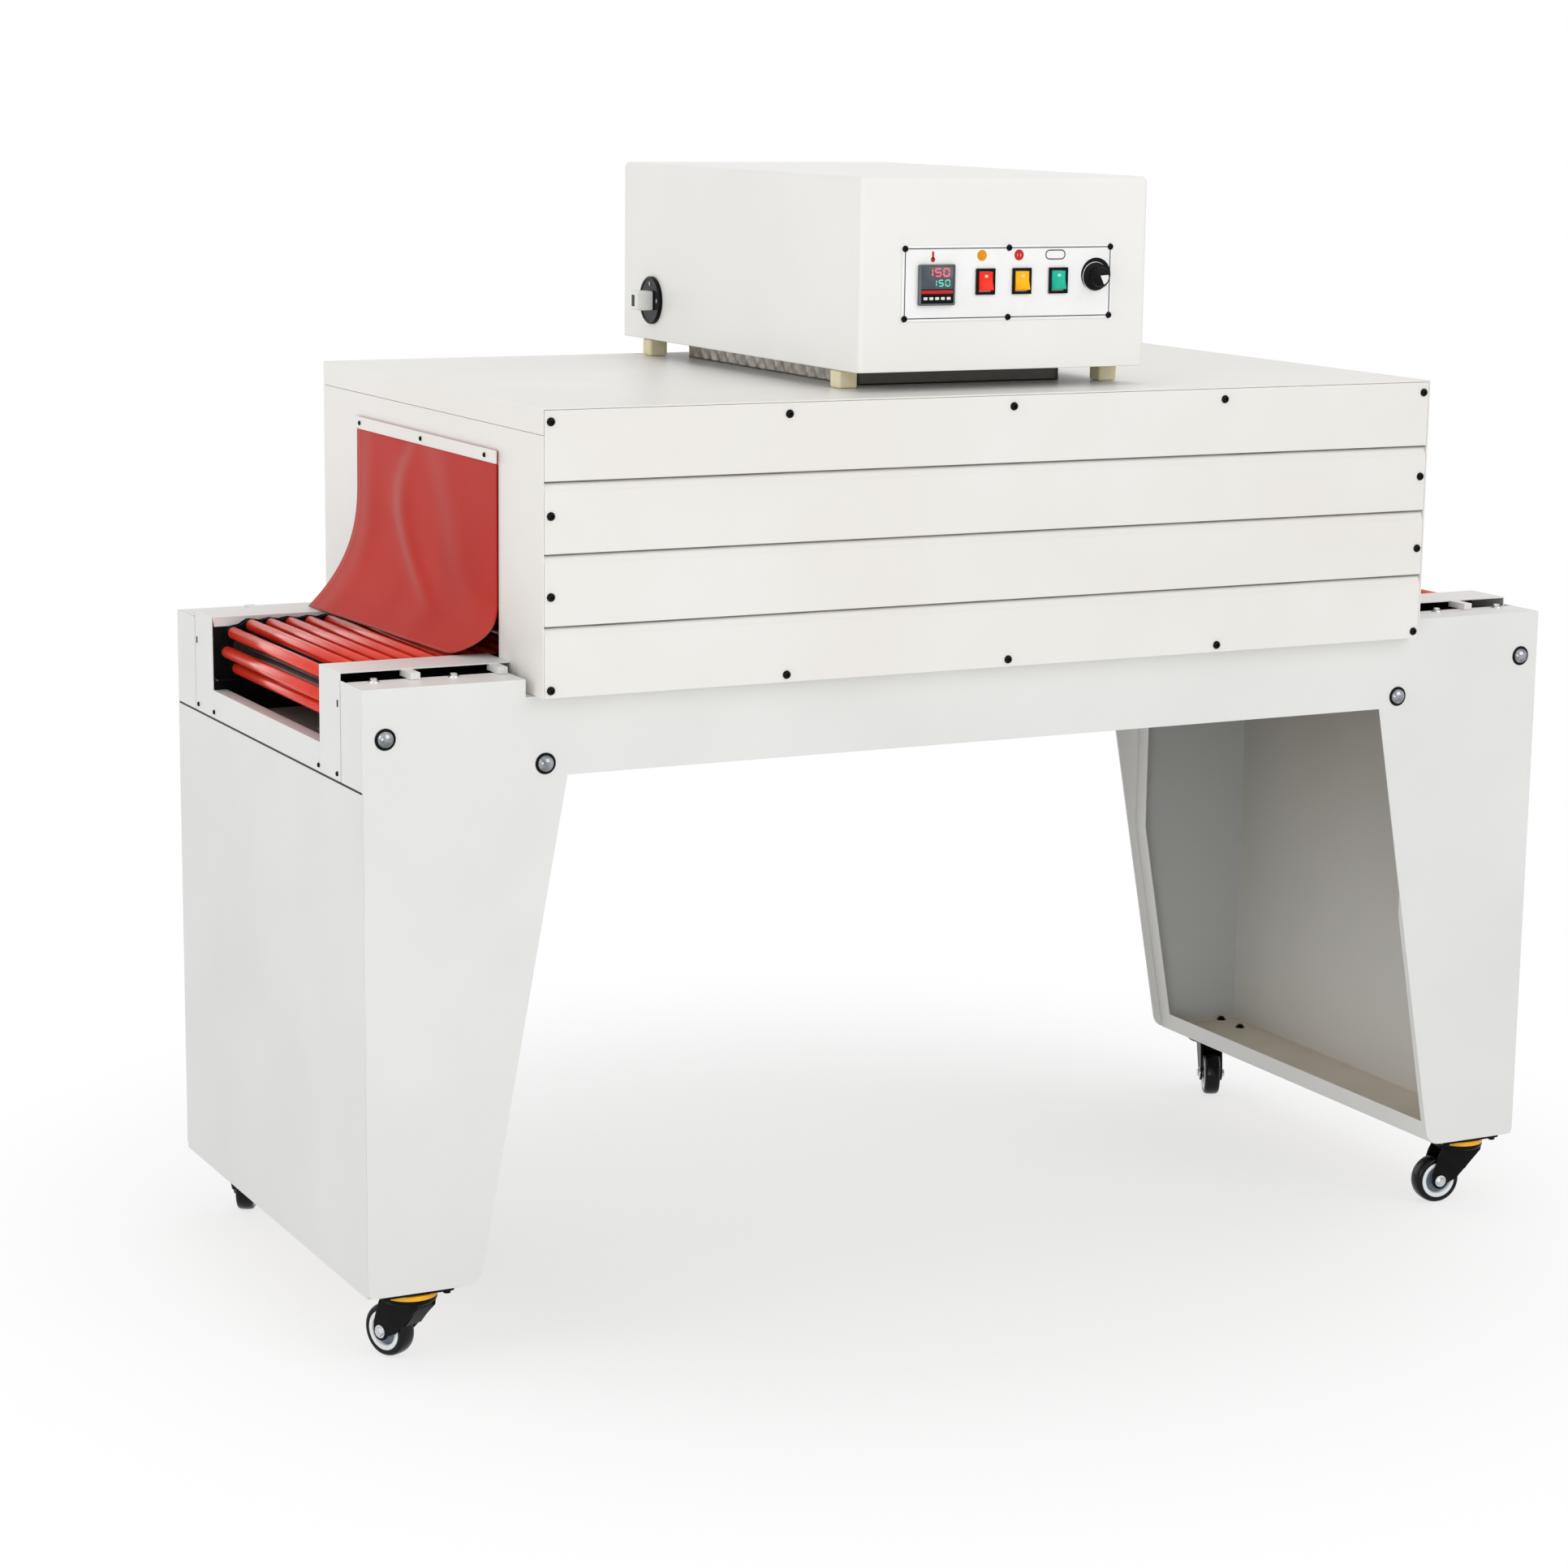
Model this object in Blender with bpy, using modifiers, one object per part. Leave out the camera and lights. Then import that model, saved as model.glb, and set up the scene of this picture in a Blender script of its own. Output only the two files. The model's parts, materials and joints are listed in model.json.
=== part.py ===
"""Shrink wrapping machine.

A ribbed tunnel stands on a legged base of folded sheet. An endless chain of red rollers
runs through it and shows at both ends between white covers. Red curtains close the tunnel's
mouths, a control box stands on spacers on its roof, and four swivel casters carry it all.

X runs along the conveyor, Y from the control side to the back, and Z up from the floor.
The origin is on the floor, under the middle of the machine's overall box. The conveyor's centre
line lies a little in front of it, because the control box reaches past the tunnel's back.
"""

import math

import bmesh
import bpy
from mathutils import Matrix, Vector

# Driving sizes, in metres
LENGTH = 1.621
BASE_DEPTH = 0.669
TUNNEL_DEPTH = 0.714
TUNNEL_LENGTH = 1.208
LEG_BOTTOM_Z = 0.092
SEAM_Z = 0.680
BEAM_BOTTOM_Z = 0.684
PANEL_TOP_Z = 0.797
TUNNEL_BOTTOM_Z = 0.777
TUNNEL_TOP_Z = 1.1035
CONTROL_BOX_HEIGHT = 0.2278

# Sheet, gaps and cuts
SHEET = 0.002
THIN_SHEET = 0.0015
GAP = 0.0003
OVERRUN = 0.004
MERGE = 0.00001
FACING_SHARE = 0.9

# Side panels of the base
LEG_TOP_WIDTH = 0.2469
LEG_FOOT_WIDTH = 0.1375
PANEL_NOTCH_CLEARANCE = 0.011
PANEL_OUTER_RADIUS = 0.008
PANEL_INNER_RADIUS = 0.022
TOP_FLANGE = 0.0575
END_FLANGE = 0.070
BEAM_FLANGE = 0.040
CORNER_RELIEF = 0.003

# Leg boxes
LEG_RETURN_DEPTH = 0.1825
LEG_FLOOR_DEPTH = 0.1255
LEG_KINK_Z = 0.4036
LEG_LIP = 0.025

# Conveyor
MOUTH_MARGIN = 0.047
OPENING_TOP_Z = 1.0275
ROLLER_PITCH = 0.0254
ROLLER_RADIUS = 0.0075
SIDE_BAY_WIDTH = 0.1535
LOOP_END_CLEARANCE = 0.0425
ROLLER_SEAT = 0.001
ROLLER_SIDES = 8
ROLLER_PHASE = 0.003
PITCH_LINE_Z = 0.796
SPROCKET_PITCH_RADIUS = 0.0285
CHAIN_WIDTH = 0.012
CHAIN_HALF_HEIGHT = 0.0085
CHAIN_WAIST_HALF_HEIGHT = 0.006
RAIL_CLEARANCE = 0.002
RAIL_THICKNESS = 0.003
LEDGE_THICKNESS = 0.002
BED_END_CLEARANCE = 0.023
BED_FLANGE = 0.025
AXLE_BAR_WIDTH = 0.022
AXLE_BAR_HEIGHT = 0.011
JOURNAL_RADIUS = 0.006
SPROCKET_THICKNESS = 0.006
SPROCKET_CLEARANCE = 0.0009
LIP_TOP_Z = 0.7155
LIP_FOLD = 0.018
LIP_HEM = 0.010

# Conveyor covers
COVER_TOP_Z = 0.806
COVER_CHAIN_CLEARANCE = 0.002
COVER_LIP = 0.0118
COVER_FLANGE_GAP = 0.0025
TAB_WIDTH = 0.012
TAB_REACH = 0.028
TAB_UNDERLAP = 0.006
TAB_SHARES = (0.388, 0.902)

# Tunnel
BAND_COUNT = 4
GROOVE_DEPTH = 0.006
GROOVE_HEIGHT = 0.012
PANEL_FOOT = 0.110
LID_FLANGE = 0.030
LINER_CLEARANCE = 0.002
LINER_TOP_CLEARANCE = 0.003
LINER_WALL = 0.025

# Curtains and their clamps
CURTAIN_THICKNESS = 0.0025
CURTAIN_EDGE_CLEARANCE = 0.0005
CURTAIN_TOP_Z = 1.0440
CURTAIN_BEND_FAR_Z = 0.9686
CURTAIN_BEND_NEAR_Z = 0.8706
CURTAIN_REACH_FAR = 0.067
CURTAIN_REACH_NEAR = 0.043
CURTAIN_CURL_POWER = 2.6
CURTAIN_ROWS = 10
CURTAIN_COLUMNS = 4
CLAMP_HEIGHT = 0.015
CLAMP_THICKNESS = 0.003
CLAMP_EDGE = 0.0005
CLAMP_BOTTOM_Z = 1.0300
CLAMP_OVERLAP = 0.004

# Control box and what stands under it
BOX_WIDTH = 0.395
BOX_DEPTH = 0.670
BOX_CENTRE_X = 0.0235
BOX_CENTRE_Y = 0.045
BOX_EDGE_RADIUS = 0.010
BOX_EDGE_SEGMENTS = 3
FOOT_WIDTH = 0.025
FOOT_HEIGHT = 0.0223
FOOT_INSET_X = 0.0165
FOOT_INSET_Y = 0.067
FOOT_EDGE = 0.002
FAN_HOLE_RADIUS = 0.095
COLLAR_WIDTH = 0.293
COLLAR_DEPTH = 0.480
COLLAR_CENTRE_X = 0.015
COLLAR_CENTRE_Y = 0.040
COLLAR_HEIGHT = 0.0197

# Control plate and its switches, measured from the box's left edge and top
PLATE_WIDTH = 0.289
PLATE_HEIGHT = 0.089
PLATE_LEFT = 0.056
PLATE_DROP = 0.080
PLATE_WINDOW_MARGIN = 0.010
METER_SIZE = 0.048
METER_LEFT = 0.077
METER_DROP = 0.102
METER_FACE = 0.005
METER_BODY = 0.0445
METER_BODY_DEPTH = 0.060
SWITCH_PLACES = (0.168, 0.218, 0.2685)
SWITCH_DROP = 0.123
SWITCH_FRAME_WIDTH = 0.026
SWITCH_FRAME_HEIGHT = 0.031
SWITCH_FRAME_FACE = 0.0025
SWITCH_BODY_WIDTH = 0.0216
SWITCH_BODY_HEIGHT = 0.0270
SWITCH_BODY_DEPTH = 0.018
SWITCH_WALL = 0.0012
SWITCH_POCKET_DEPTH = 0.014
ROCKER_SIDE_CLEARANCE = 0.0004
ROCKER_END_CLEARANCE = 0.0014
ROCKER_PROUD = 0.0010
ROCKER_TILT_DEG = 9
ROCKER_PIVOT_DEPTH = 0.0035
ROCKER_BACK = 0.0045
ROCKER_BACK_SHARE = 0.7
KNOB_LEFT = 0.321
KNOB_DROP = 0.119
KNOB_SKIRT_RADIUS = 0.017
KNOB_SKIRT_HEIGHT = 0.003
KNOB_GRIP_RADIUS = 0.0125
KNOB_TIP_RADIUS = 0.0115
KNOB_HEIGHT = 0.016
KNOB_SHAFT_RADIUS = 0.003
KNOB_SHAFT_LENGTH = 0.012
KNOB_FACE_GAP = 0.0006
KNOB_STEPS = 24

# Rotary switch on the box's left side, measured from its back edge and its bottom
ISOLATOR_RADIUS = 0.031
ISOLATOR_THICKNESS = 0.005
ISOLATOR_FROM_BACK = 0.094
ISOLATOR_UP = 0.0515
ISOLATOR_STEPS = 24
HANDLE_WIDTH = 0.026
HANDLE_LENGTH = 0.025
HANDLE_REACH = 0.022
HANDLE_EDGE = 0.003
HANDLE_SHAFT_RADIUS = 0.005
HANDLE_FACE_GAP = 0.0006

# Casters
CASTER_INSET_X = 0.0630
CASTER_INSET_Y = 0.0345
CASTER_PLATE_LENGTH = 0.090
CASTER_PLATE_WIDTH = 0.066
CASTER_PLATE_THICKNESS = 0.003
WHEEL_RADIUS = 0.0315
WHEEL_WIDTH = 0.022
HUB_WIDTH = 0.024
WHEEL_STEPS = 24
RIM_RADIUS = 0.021
RIM_RECESS = 0.003
TYRE_SHOULDER = 0.004
AXLE_RADIUS = 0.004
AXLE_CLEARANCE = 0.0003
CASTER_TRAIL = 0.032
RACE_RADIUS = 0.029
RACE_HEIGHT = 0.0065
RACE_GAP = 0.0008
BOSS_RADIUS = 0.014
BOSS_CLEARANCE = 0.0004
CROWN_THICKNESS = 0.006
FORK_PLATE = 0.0028
FORK_SIDE_CLEARANCE = 0.0012
FORK_EYE_RADIUS = 0.0105
FORK_EYE_STEPS = 8
FORK_WIDTH_SHARE = 0.92
ROUND_STEPS = 24
CASTER_TRAIL_DEGREES = {
    "front_left": 114.0,
    "front_right": 173.0,
    "back_left": 63.0,
    "back_right": 243.0,
}

# Places that follow from the sizes above
HALF_LENGTH = LENGTH / 2
HALF_BASE = BASE_DEPTH / 2
HALF_TUNNEL = TUNNEL_DEPTH / 2
HALF_TUNNEL_LENGTH = TUNNEL_LENGTH / 2
BASE_MIDDLE_TOP_Z = TUNNEL_BOTTOM_Z - GAP
DECK_BOTTOM_Z = BEAM_BOTTOM_Z + SHEET + GAP
DECK_TOP_Z = DECK_BOTTOM_Z + THIN_SHEET
ROLLER_LENGTH = BASE_DEPTH - 2 * SIDE_BAY_WIDTH
OPENING_WIDTH = ROLLER_LENGTH + 2 * MOUTH_MARGIN
SPROCKET_WRAP = math.pi * SPROCKET_PITCH_RADIUS
WANTED_LOOP = 4 * (HALF_LENGTH - LOOP_END_CLEARANCE) + 2 * SPROCKET_WRAP
ROLLER_COUNT = 2 * round(WANTED_LOOP / ROLLER_PITCH / 2)
HALF_LOOP = (ROLLER_PITCH * ROLLER_COUNT - 2 * SPROCKET_WRAP) / 4
BED_HALF_LENGTH = HALF_LOOP - BED_END_CLEARANCE
BEAM_CORNER_X = HALF_LENGTH - LEG_TOP_WIDTH
LEG_INNER_BOTTOM_X = HALF_LENGTH - LEG_FOOT_WIDTH
LEG_RETURN_X = HALF_LENGTH - LEG_RETURN_DEPTH
LEG_FLOOR_X = HALF_LENGTH - LEG_FLOOR_DEPTH
CASTER_X = HALF_LENGTH - CASTER_INSET_X
CASTER_Y = HALF_BASE - CASTER_INSET_Y
SPROCKET_Z = PITCH_LINE_Z - SPROCKET_PITCH_RADIUS
CHAIN_INNER_Y = ROLLER_LENGTH / 2 - ROLLER_SEAT
CHAIN_OUTER_Y = CHAIN_INNER_Y + CHAIN_WIDTH
RAIL_INNER_Y = CHAIN_OUTER_Y + RAIL_CLEARANCE
RAIL_OUTER_Y = RAIL_INNER_Y + RAIL_THICKNESS
RAIL_TOP_Z = COVER_TOP_Z - COVER_LIP - GAP
RAIL_HALF_LENGTH = HALF_LENGTH - THIN_SHEET - 2 * GAP
COVER_INNER_Y = CHAIN_OUTER_Y + COVER_CHAIN_CLEARANCE
COVER_OUTER_Y = HALF_BASE - END_FLANGE - COVER_FLANGE_GAP
CURTAIN_END_Z = COVER_TOP_Z + CURTAIN_THICKNESS + GAP
BOX_BOTTOM_Z = TUNNEL_TOP_Z + FOOT_HEIGHT + 2 * GAP
BOX_TOP_Z = BOX_BOTTOM_Z + CONTROL_BOX_HEIGHT
BOX_LEFT_X = BOX_CENTRE_X - BOX_WIDTH / 2
BOX_FRONT_Y = BOX_CENTRE_Y - BOX_DEPTH / 2
PLATE_FACE_Y = BOX_FRONT_Y - GAP - THIN_SHEET
BOX_OVERHANG = BOX_FRONT_Y + BOX_DEPTH - HALF_TUNNEL

for old in list(bpy.data.objects):
    bpy.data.objects.remove(old, do_unlink=True)

PARTS = bpy.data.collections.new("shrink_wrapping_machine")
CUTTERS = bpy.data.collections.new("cutters")
for group in (PARTS, CUTTERS):
    bpy.context.scene.collection.children.link(group)


def material(name, red, green, blue, roughness, metallic=0.0):
    """A plain finish with one colour."""
    finish = bpy.data.materials.new(name)
    finish.use_nodes = True
    shader = finish.node_tree.nodes["Principled BSDF"]
    shader.inputs["Base Color"].default_value = (red, green, blue, 1.0)
    shader.inputs["Roughness"].default_value = roughness
    shader.inputs["Metallic"].default_value = metallic
    return finish


WHITE_PAINT = material("white_powder_coated_steel", 0.84, 0.84, 0.82, 0.4)
GREY_PAINT = material("grey_painted_steel", 0.06, 0.06, 0.065, 0.5)
BLACK_STEEL = material("blackened_steel", 0.012, 0.012, 0.014, 0.45, 0.3)
ZINC = material("galvanised_steel", 0.32, 0.31, 0.30, 0.45, 0.8)
RED_SILICONE = material("red_silicone", 0.62, 0.06, 0.045, 0.5)
RED_ROLLER = material("red_roller_sleeve", 0.78, 0.045, 0.02, 0.35)
BLACK_PLASTIC = material("black_plastic", 0.01, 0.01, 0.012, 0.4)
WHITE_PLASTIC = material("white_plastic", 0.8, 0.8, 0.78, 0.35)
CREAM_PLASTIC = material("cream_nylon", 0.75, 0.7, 0.5, 0.5)
BLACK_RUBBER = material("black_rubber", 0.015, 0.015, 0.016, 0.7)
LINER = material("dark_chamber_lining", 0.02, 0.018, 0.017, 0.7)
LAMP_COLOURS = {
    "red": material("red_switch_plastic", 0.7, 0.02, 0.02, 0.3),
    "amber": material("amber_switch_plastic", 0.8, 0.3, 0.02, 0.3),
    "green": material("green_switch_plastic", 0.03, 0.45, 0.1, 0.3),
}


def empty(name, place, turn_deg=0.0):
    """A named point that carries pieces."""
    point = bpy.data.objects.new(name, None)
    point.location = place
    point.rotation_euler = (0.0, 0.0, math.radians(turn_deg))
    PARTS.objects.link(point)
    return point


def piece(name, mesh, finish, place=(0.0, 0.0, 0.0), parent=None):
    """Puts a mesh in the model as a named piece."""
    made = bpy.data.objects.new(name, mesh)
    made.data.materials.clear()
    made.data.materials.append(finish)
    made.location = place
    made.parent = parent
    PARTS.objects.link(made)
    return made


def cutter(name, mesh, place=(0.0, 0.0, 0.0), parent=None):
    """Puts a mesh among the cutters."""
    made = bpy.data.objects.new(name, mesh)
    made.location = place
    made.parent = parent
    made.hide_render = True
    made.display_type = "WIRE"
    CUTTERS.objects.link(made)
    return made


def finished_mesh(name, shape):
    """Closes a bmesh into mesh data with its faces outward."""
    mesh = bpy.data.meshes.new(name)
    shape.to_mesh(mesh)
    shape.free()
    return mesh


def box_mesh(name, size, centre=(0.0, 0.0, 0.0)):
    """A closed box."""
    shape = bmesh.new()
    bmesh.ops.create_cube(shape, size=1.0)
    bmesh.ops.scale(shape, vec=size, verts=shape.verts)
    bmesh.ops.translate(shape, vec=centre, verts=shape.verts)
    return finished_mesh(name, shape)


def open_box_mesh(name, size, centre, open_sides):
    """A box without the sides whose outward directions are given."""
    shape = bmesh.new()
    bmesh.ops.create_cube(shape, size=1.0)
    bmesh.ops.scale(shape, vec=size, verts=shape.verts)
    bmesh.ops.translate(shape, vec=centre, verts=shape.verts)
    shape.normal_update()
    gone = []
    for side in open_sides:
        gone += [face for face in shape.faces if face.normal.dot(Vector(side)) > FACING_SHARE]
    bmesh.ops.delete(shape, geom=gone, context="FACES")
    return finished_mesh(name, shape)


def cylinder_mesh(name, radius, start, end, steps, axis="Z", centre=(0.0, 0.0, 0.0)):
    """A closed cylinder from one place to another along an axis."""
    shape = bmesh.new()
    quarter = math.pi / 2
    turn = {"X": Matrix.Rotation(quarter, 4, "Y"), "Y": Matrix.Rotation(-quarter, 4, "X"), "Z": Matrix()}
    bmesh.ops.create_cone(
        shape, cap_ends=True, segments=steps, radius1=radius, radius2=radius, depth=end - start,
    )
    bmesh.ops.translate(shape, vec=(0.0, 0.0, (start + end) / 2), verts=shape.verts)
    bmesh.ops.transform(shape, matrix=turn[axis], verts=shape.verts)
    bmesh.ops.translate(shape, vec=centre, verts=shape.verts)
    return finished_mesh(name, shape)


AXES = {
    "Y": Matrix(((1, 0, 0), (0, 0, -1), (0, 1, 0))).to_4x4(),
    "X": Matrix(((0, 0, 1), (1, 0, 0), (0, 1, 0))).to_4x4(),
    "Z": Matrix(),
}


def extruded_mesh(name, outline, axis, start, end):
    """A flat outline, drawn as a filled curve and made solid along an axis.

    The outline is (x, z) along Y, (y, z) along X and (x, y) along Z.
    """
    drawing = bpy.data.curves.new(name, "CURVE")
    drawing.dimensions = "2D"
    drawing.fill_mode = "BOTH"
    drawing.extrude = abs(end - start) / 2
    line = drawing.splines.new("POLY")
    line.points.add(len(outline) - 1)
    for point, (across, up) in zip(line.points, outline):
        point.co = (across, up, 0.0, 1.0)
    line.use_cyclic_u = True
    holder = bpy.data.objects.new(name, drawing)
    CUTTERS.objects.link(holder)
    graph = bpy.context.evaluated_depsgraph_get()
    mesh = bpy.data.meshes.new_from_object(holder.evaluated_get(graph))
    bpy.data.objects.remove(holder, do_unlink=True)
    shape = bmesh.new()
    shape.from_mesh(mesh)
    bmesh.ops.remove_doubles(shape, verts=shape.verts, dist=MERGE)
    middle = (start + end) / 2
    along = {"X": (middle, 0.0, 0.0), "Y": (0.0, middle, 0.0), "Z": (0.0, 0.0, middle)}
    bmesh.ops.transform(shape, matrix=AXES[axis], verts=shape.verts)
    bmesh.ops.translate(shape, vec=along[axis], verts=shape.verts)
    bmesh.ops.recalc_face_normals(shape, faces=shape.faces)
    shape.to_mesh(mesh)
    shape.free()
    return mesh


def bent_mesh(name, profile, axis, start, end, outward):
    """An open folded surface: a profile line drawn out along an axis.

    outward is a direction that the first strip faces.
    """
    shape = bmesh.new()
    rows = []
    for place in (start, end):
        row = []
        for across, up in profile:
            spot = Vector((across, place, up)) if axis == "Y" else Vector((place, across, up))
            row.append(shape.verts.new(spot))
        rows.append(row)
    for index in range(len(profile) - 1):
        shape.faces.new((rows[0][index], rows[0][index + 1], rows[1][index + 1], rows[1][index]))
    shape.faces.ensure_lookup_table()
    shape.normal_update()
    if shape.faces[0].normal.dot(Vector(outward)) < 0:
        bmesh.ops.reverse_faces(shape, faces=shape.faces)
    return finished_mesh(name, shape)


def solidify(target, thickness):
    """Gives an open surface its thickness, behind its outward faces."""
    shell = target.modifiers.new("sheet", "SOLIDIFY")
    shell.thickness = thickness
    shell.offset = -1.0
    shell.solidify_mode = "NON_MANIFOLD"
    shell.nonmanifold_thickness_mode = "CONSTRAINTS"
    shell.nonmanifold_merge_threshold = MERGE
    return target


def bevel(target, width, segments=1):
    """Breaks a piece's edges."""
    edge = target.modifiers.new("edges", "BEVEL")
    edge.width = width
    edge.segments = segments
    edge.limit_method = "ANGLE"
    return target


def combine(target, tool, operation):
    """Cuts a piece with a tool, or joins the tool to it."""
    step = target.modifiers.new(operation.lower(), "BOOLEAN")
    step.operation = operation
    step.solver = "EXACT"
    step.object = tool
    return target


def arc(centre, radius, start_deg, end_deg, steps):
    """Points on an arc, both ends included."""
    points = []
    for index in range(steps + 1):
        angle = math.radians(start_deg + (end_deg - start_deg) * index / steps)
        points.append((centre[0] + radius * math.cos(angle), centre[1] + radius * math.sin(angle)))
    return points


def rounded_corner(before, corner, after, radius, steps):
    """Points that round one corner of an outline."""
    here = Vector(corner)
    to_before = (Vector(before) - here).normalized()
    to_after = (Vector(after) - here).normalized()
    half = to_before.angle(to_after) / 2
    reach = radius / math.tan(half)
    centre = here + (to_before + to_after).normalized() * radius / math.sin(half)
    first = here + to_before * reach - centre
    last = here + to_after * reach - centre
    points = []
    for index in range(steps + 1):
        part = index / steps
        spoke = first.lerp(last, part).normalized() * radius
        points.append(tuple(centre + spoke))
    return points


def turned_mesh(name, profile):
    """A closed profile of (radius, height) points, ready to be turned about Z by a Screw modifier."""
    shape = bmesh.new()
    ring = [shape.verts.new((radius, 0.0, height)) for radius, height in profile]
    for index, vertex in enumerate(ring):
        shape.edges.new((vertex, ring[(index + 1) % len(ring)]))
    return finished_mesh(name, shape)


def turn(target, steps):
    """Turns a profile through a full circle about Z."""
    screw = target.modifiers.new("turned", "SCREW")
    screw.steps = steps
    screw.render_steps = steps
    screw.use_merge_vertices = True
    screw.merge_threshold = MERGE
    return target


def side_panel(name, turn_deg):
    """One side of the base: a sheet with two tapering legs, folded in along its top, ends and beam."""
    notch_x = HALF_TUNNEL_LENGTH + PANEL_NOTCH_CLEARANCE
    outer = (HALF_LENGTH, LEG_BOTTOM_Z)
    inner = (LEG_INNER_BOTTOM_X, LEG_BOTTOM_Z)
    beam = (BEAM_CORNER_X, BEAM_BOTTOM_Z)
    seam = (HALF_LENGTH, SEAM_Z)
    half = [
        (notch_x, BASE_MIDDLE_TOP_Z),
        (notch_x, PANEL_TOP_Z),
        (HALF_LENGTH - CORNER_RELIEF, PANEL_TOP_Z),
        (HALF_LENGTH, PANEL_TOP_Z),
        seam,
    ]
    half += rounded_corner(seam, outer, inner, PANEL_OUTER_RADIUS, 3)
    half += rounded_corner(outer, inner, beam, PANEL_INNER_RADIUS, 5)
    half.append(beam)
    shape = bmesh.new()
    right = [shape.verts.new((x, -HALF_BASE, z)) for x, z in half]
    left = [shape.verts.new((-x, -HALF_BASE, z)) for x, z in half]
    shape.faces.new(right + left[::-1])

    def chain(vertices):
        return [shape.edges.get(pair) for pair in zip(vertices, vertices[1:])]

    folds = (
        (chain([left[2], left[1], left[0], right[0], right[1], right[2]]), TOP_FLANGE),
        (chain(right[3:5]) + chain(left[3:5]), END_FLANGE),
        (chain([right[-1], left[-1]]), BEAM_FLANGE),
    )
    for edges, depth in folds:
        new = bmesh.ops.extrude_edge_only(shape, edges=edges)["geom"]
        moved = [item for item in new if isinstance(item, bmesh.types.BMVert)]
        bmesh.ops.translate(shape, vec=(0.0, depth, 0.0), verts=moved)
    bmesh.ops.recalc_face_normals(shape, faces=shape.faces)
    shape.faces.ensure_lookup_table()
    if shape.faces[0].normal.y > 0:
        bmesh.ops.reverse_faces(shape, faces=shape.faces)
    made = piece(name, finished_mesh(name, shape), WHITE_PAINT)
    made.rotation_euler.z = math.radians(turn_deg)
    return solidify(made, SHEET)


def leg_box(name, turn_deg):
    """The folded box inside a pair of legs: end wall, two returns, floor and lip."""
    width = HALF_BASE - SHEET - GAP
    top = SEAM_Z - GAP
    shape = bmesh.new()

    def point(x, y, z):
        return shape.verts.new((x, y, z))

    sides = []
    for side in (-1, 1):
        sides.append(
            {
                "floor": point(HALF_LENGTH, side * width, LEG_BOTTOM_Z),
                "top": point(HALF_LENGTH, side * width, top),
                "inner_top": point(LEG_RETURN_X, side * width, top),
                "kink": point(LEG_RETURN_X, side * width, LEG_KINK_Z),
                "inner_floor": point(LEG_FLOOR_X, side * width, LEG_BOTTOM_Z),
            }
        )
    near, far = sides
    shape.faces.new((near["floor"], far["floor"], far["top"], near["top"]))
    shape.faces.new((far["floor"], near["floor"], near["inner_floor"], far["inner_floor"]))
    order = ("floor", "top", "inner_top", "kink", "inner_floor")
    shape.faces.new([near[key] for key in order])
    shape.faces.new([far[key] for key in reversed(order)])
    free = [near["inner_top"], near["kink"], near["inner_floor"]]
    free += [far["inner_floor"], far["kink"], far["inner_top"]]
    edges = [shape.edges.get(pair) for pair in zip(free, free[1:])]
    new = bmesh.ops.extrude_edge_only(shape, edges=edges)["geom"]
    slope = (LEG_RETURN_X - LEG_FLOOR_X) / (LEG_KINK_Z - LEG_BOTTOM_Z)
    for vertex in [item for item in new if isinstance(item, bmesh.types.BMVert)]:
        vertex.co.y -= math.copysign(LEG_LIP, vertex.co.y)
        if abs(vertex.co.z - LEG_BOTTOM_Z) < MERGE:
            vertex.co.z += LEG_LIP
            vertex.co.x += LEG_LIP * slope
    bmesh.ops.recalc_face_normals(shape, faces=shape.faces)
    shape.faces.ensure_lookup_table()
    if shape.faces[0].normal.x < 0:
        bmesh.ops.reverse_faces(shape, faces=shape.faces)
    made = piece(name, finished_mesh(name, shape), WHITE_PAINT)
    made.rotation_euler.z = math.radians(turn_deg)
    return solidify(made, SHEET)


def conveyor_deck():
    """The grey tray under the rollers, on the folded edges of both side panels."""
    half_x = HALF_LENGTH - SHEET - GAP
    half_y = HALF_BASE - SHEET - GAP
    size = (2 * half_x, 2 * half_y, THIN_SHEET)
    centre = (0.0, 0.0, (DECK_BOTTOM_Z + DECK_TOP_Z) / 2)
    piece("conveyor_tray", box_mesh("conveyor_tray", size, centre), GREY_PAINT)


def end_lip(name, turn_deg):
    """The folded sill under one end of the conveyor."""
    outer = HALF_LENGTH
    profile = (
        (outer, SEAM_Z),
        (outer, LIP_TOP_Z),
        (outer - LIP_FOLD, LIP_TOP_Z),
        (outer - LIP_FOLD, LIP_TOP_Z - LIP_HEM),
    )
    half = RAIL_INNER_Y - GAP
    mesh = bent_mesh(name, profile, "Y", -half, half, (1.0, 0.0, 0.0))
    made = piece(name, mesh, WHITE_PAINT)
    made.rotation_euler.z = math.radians(turn_deg)
    return solidify(made, THIN_SHEET)


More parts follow.
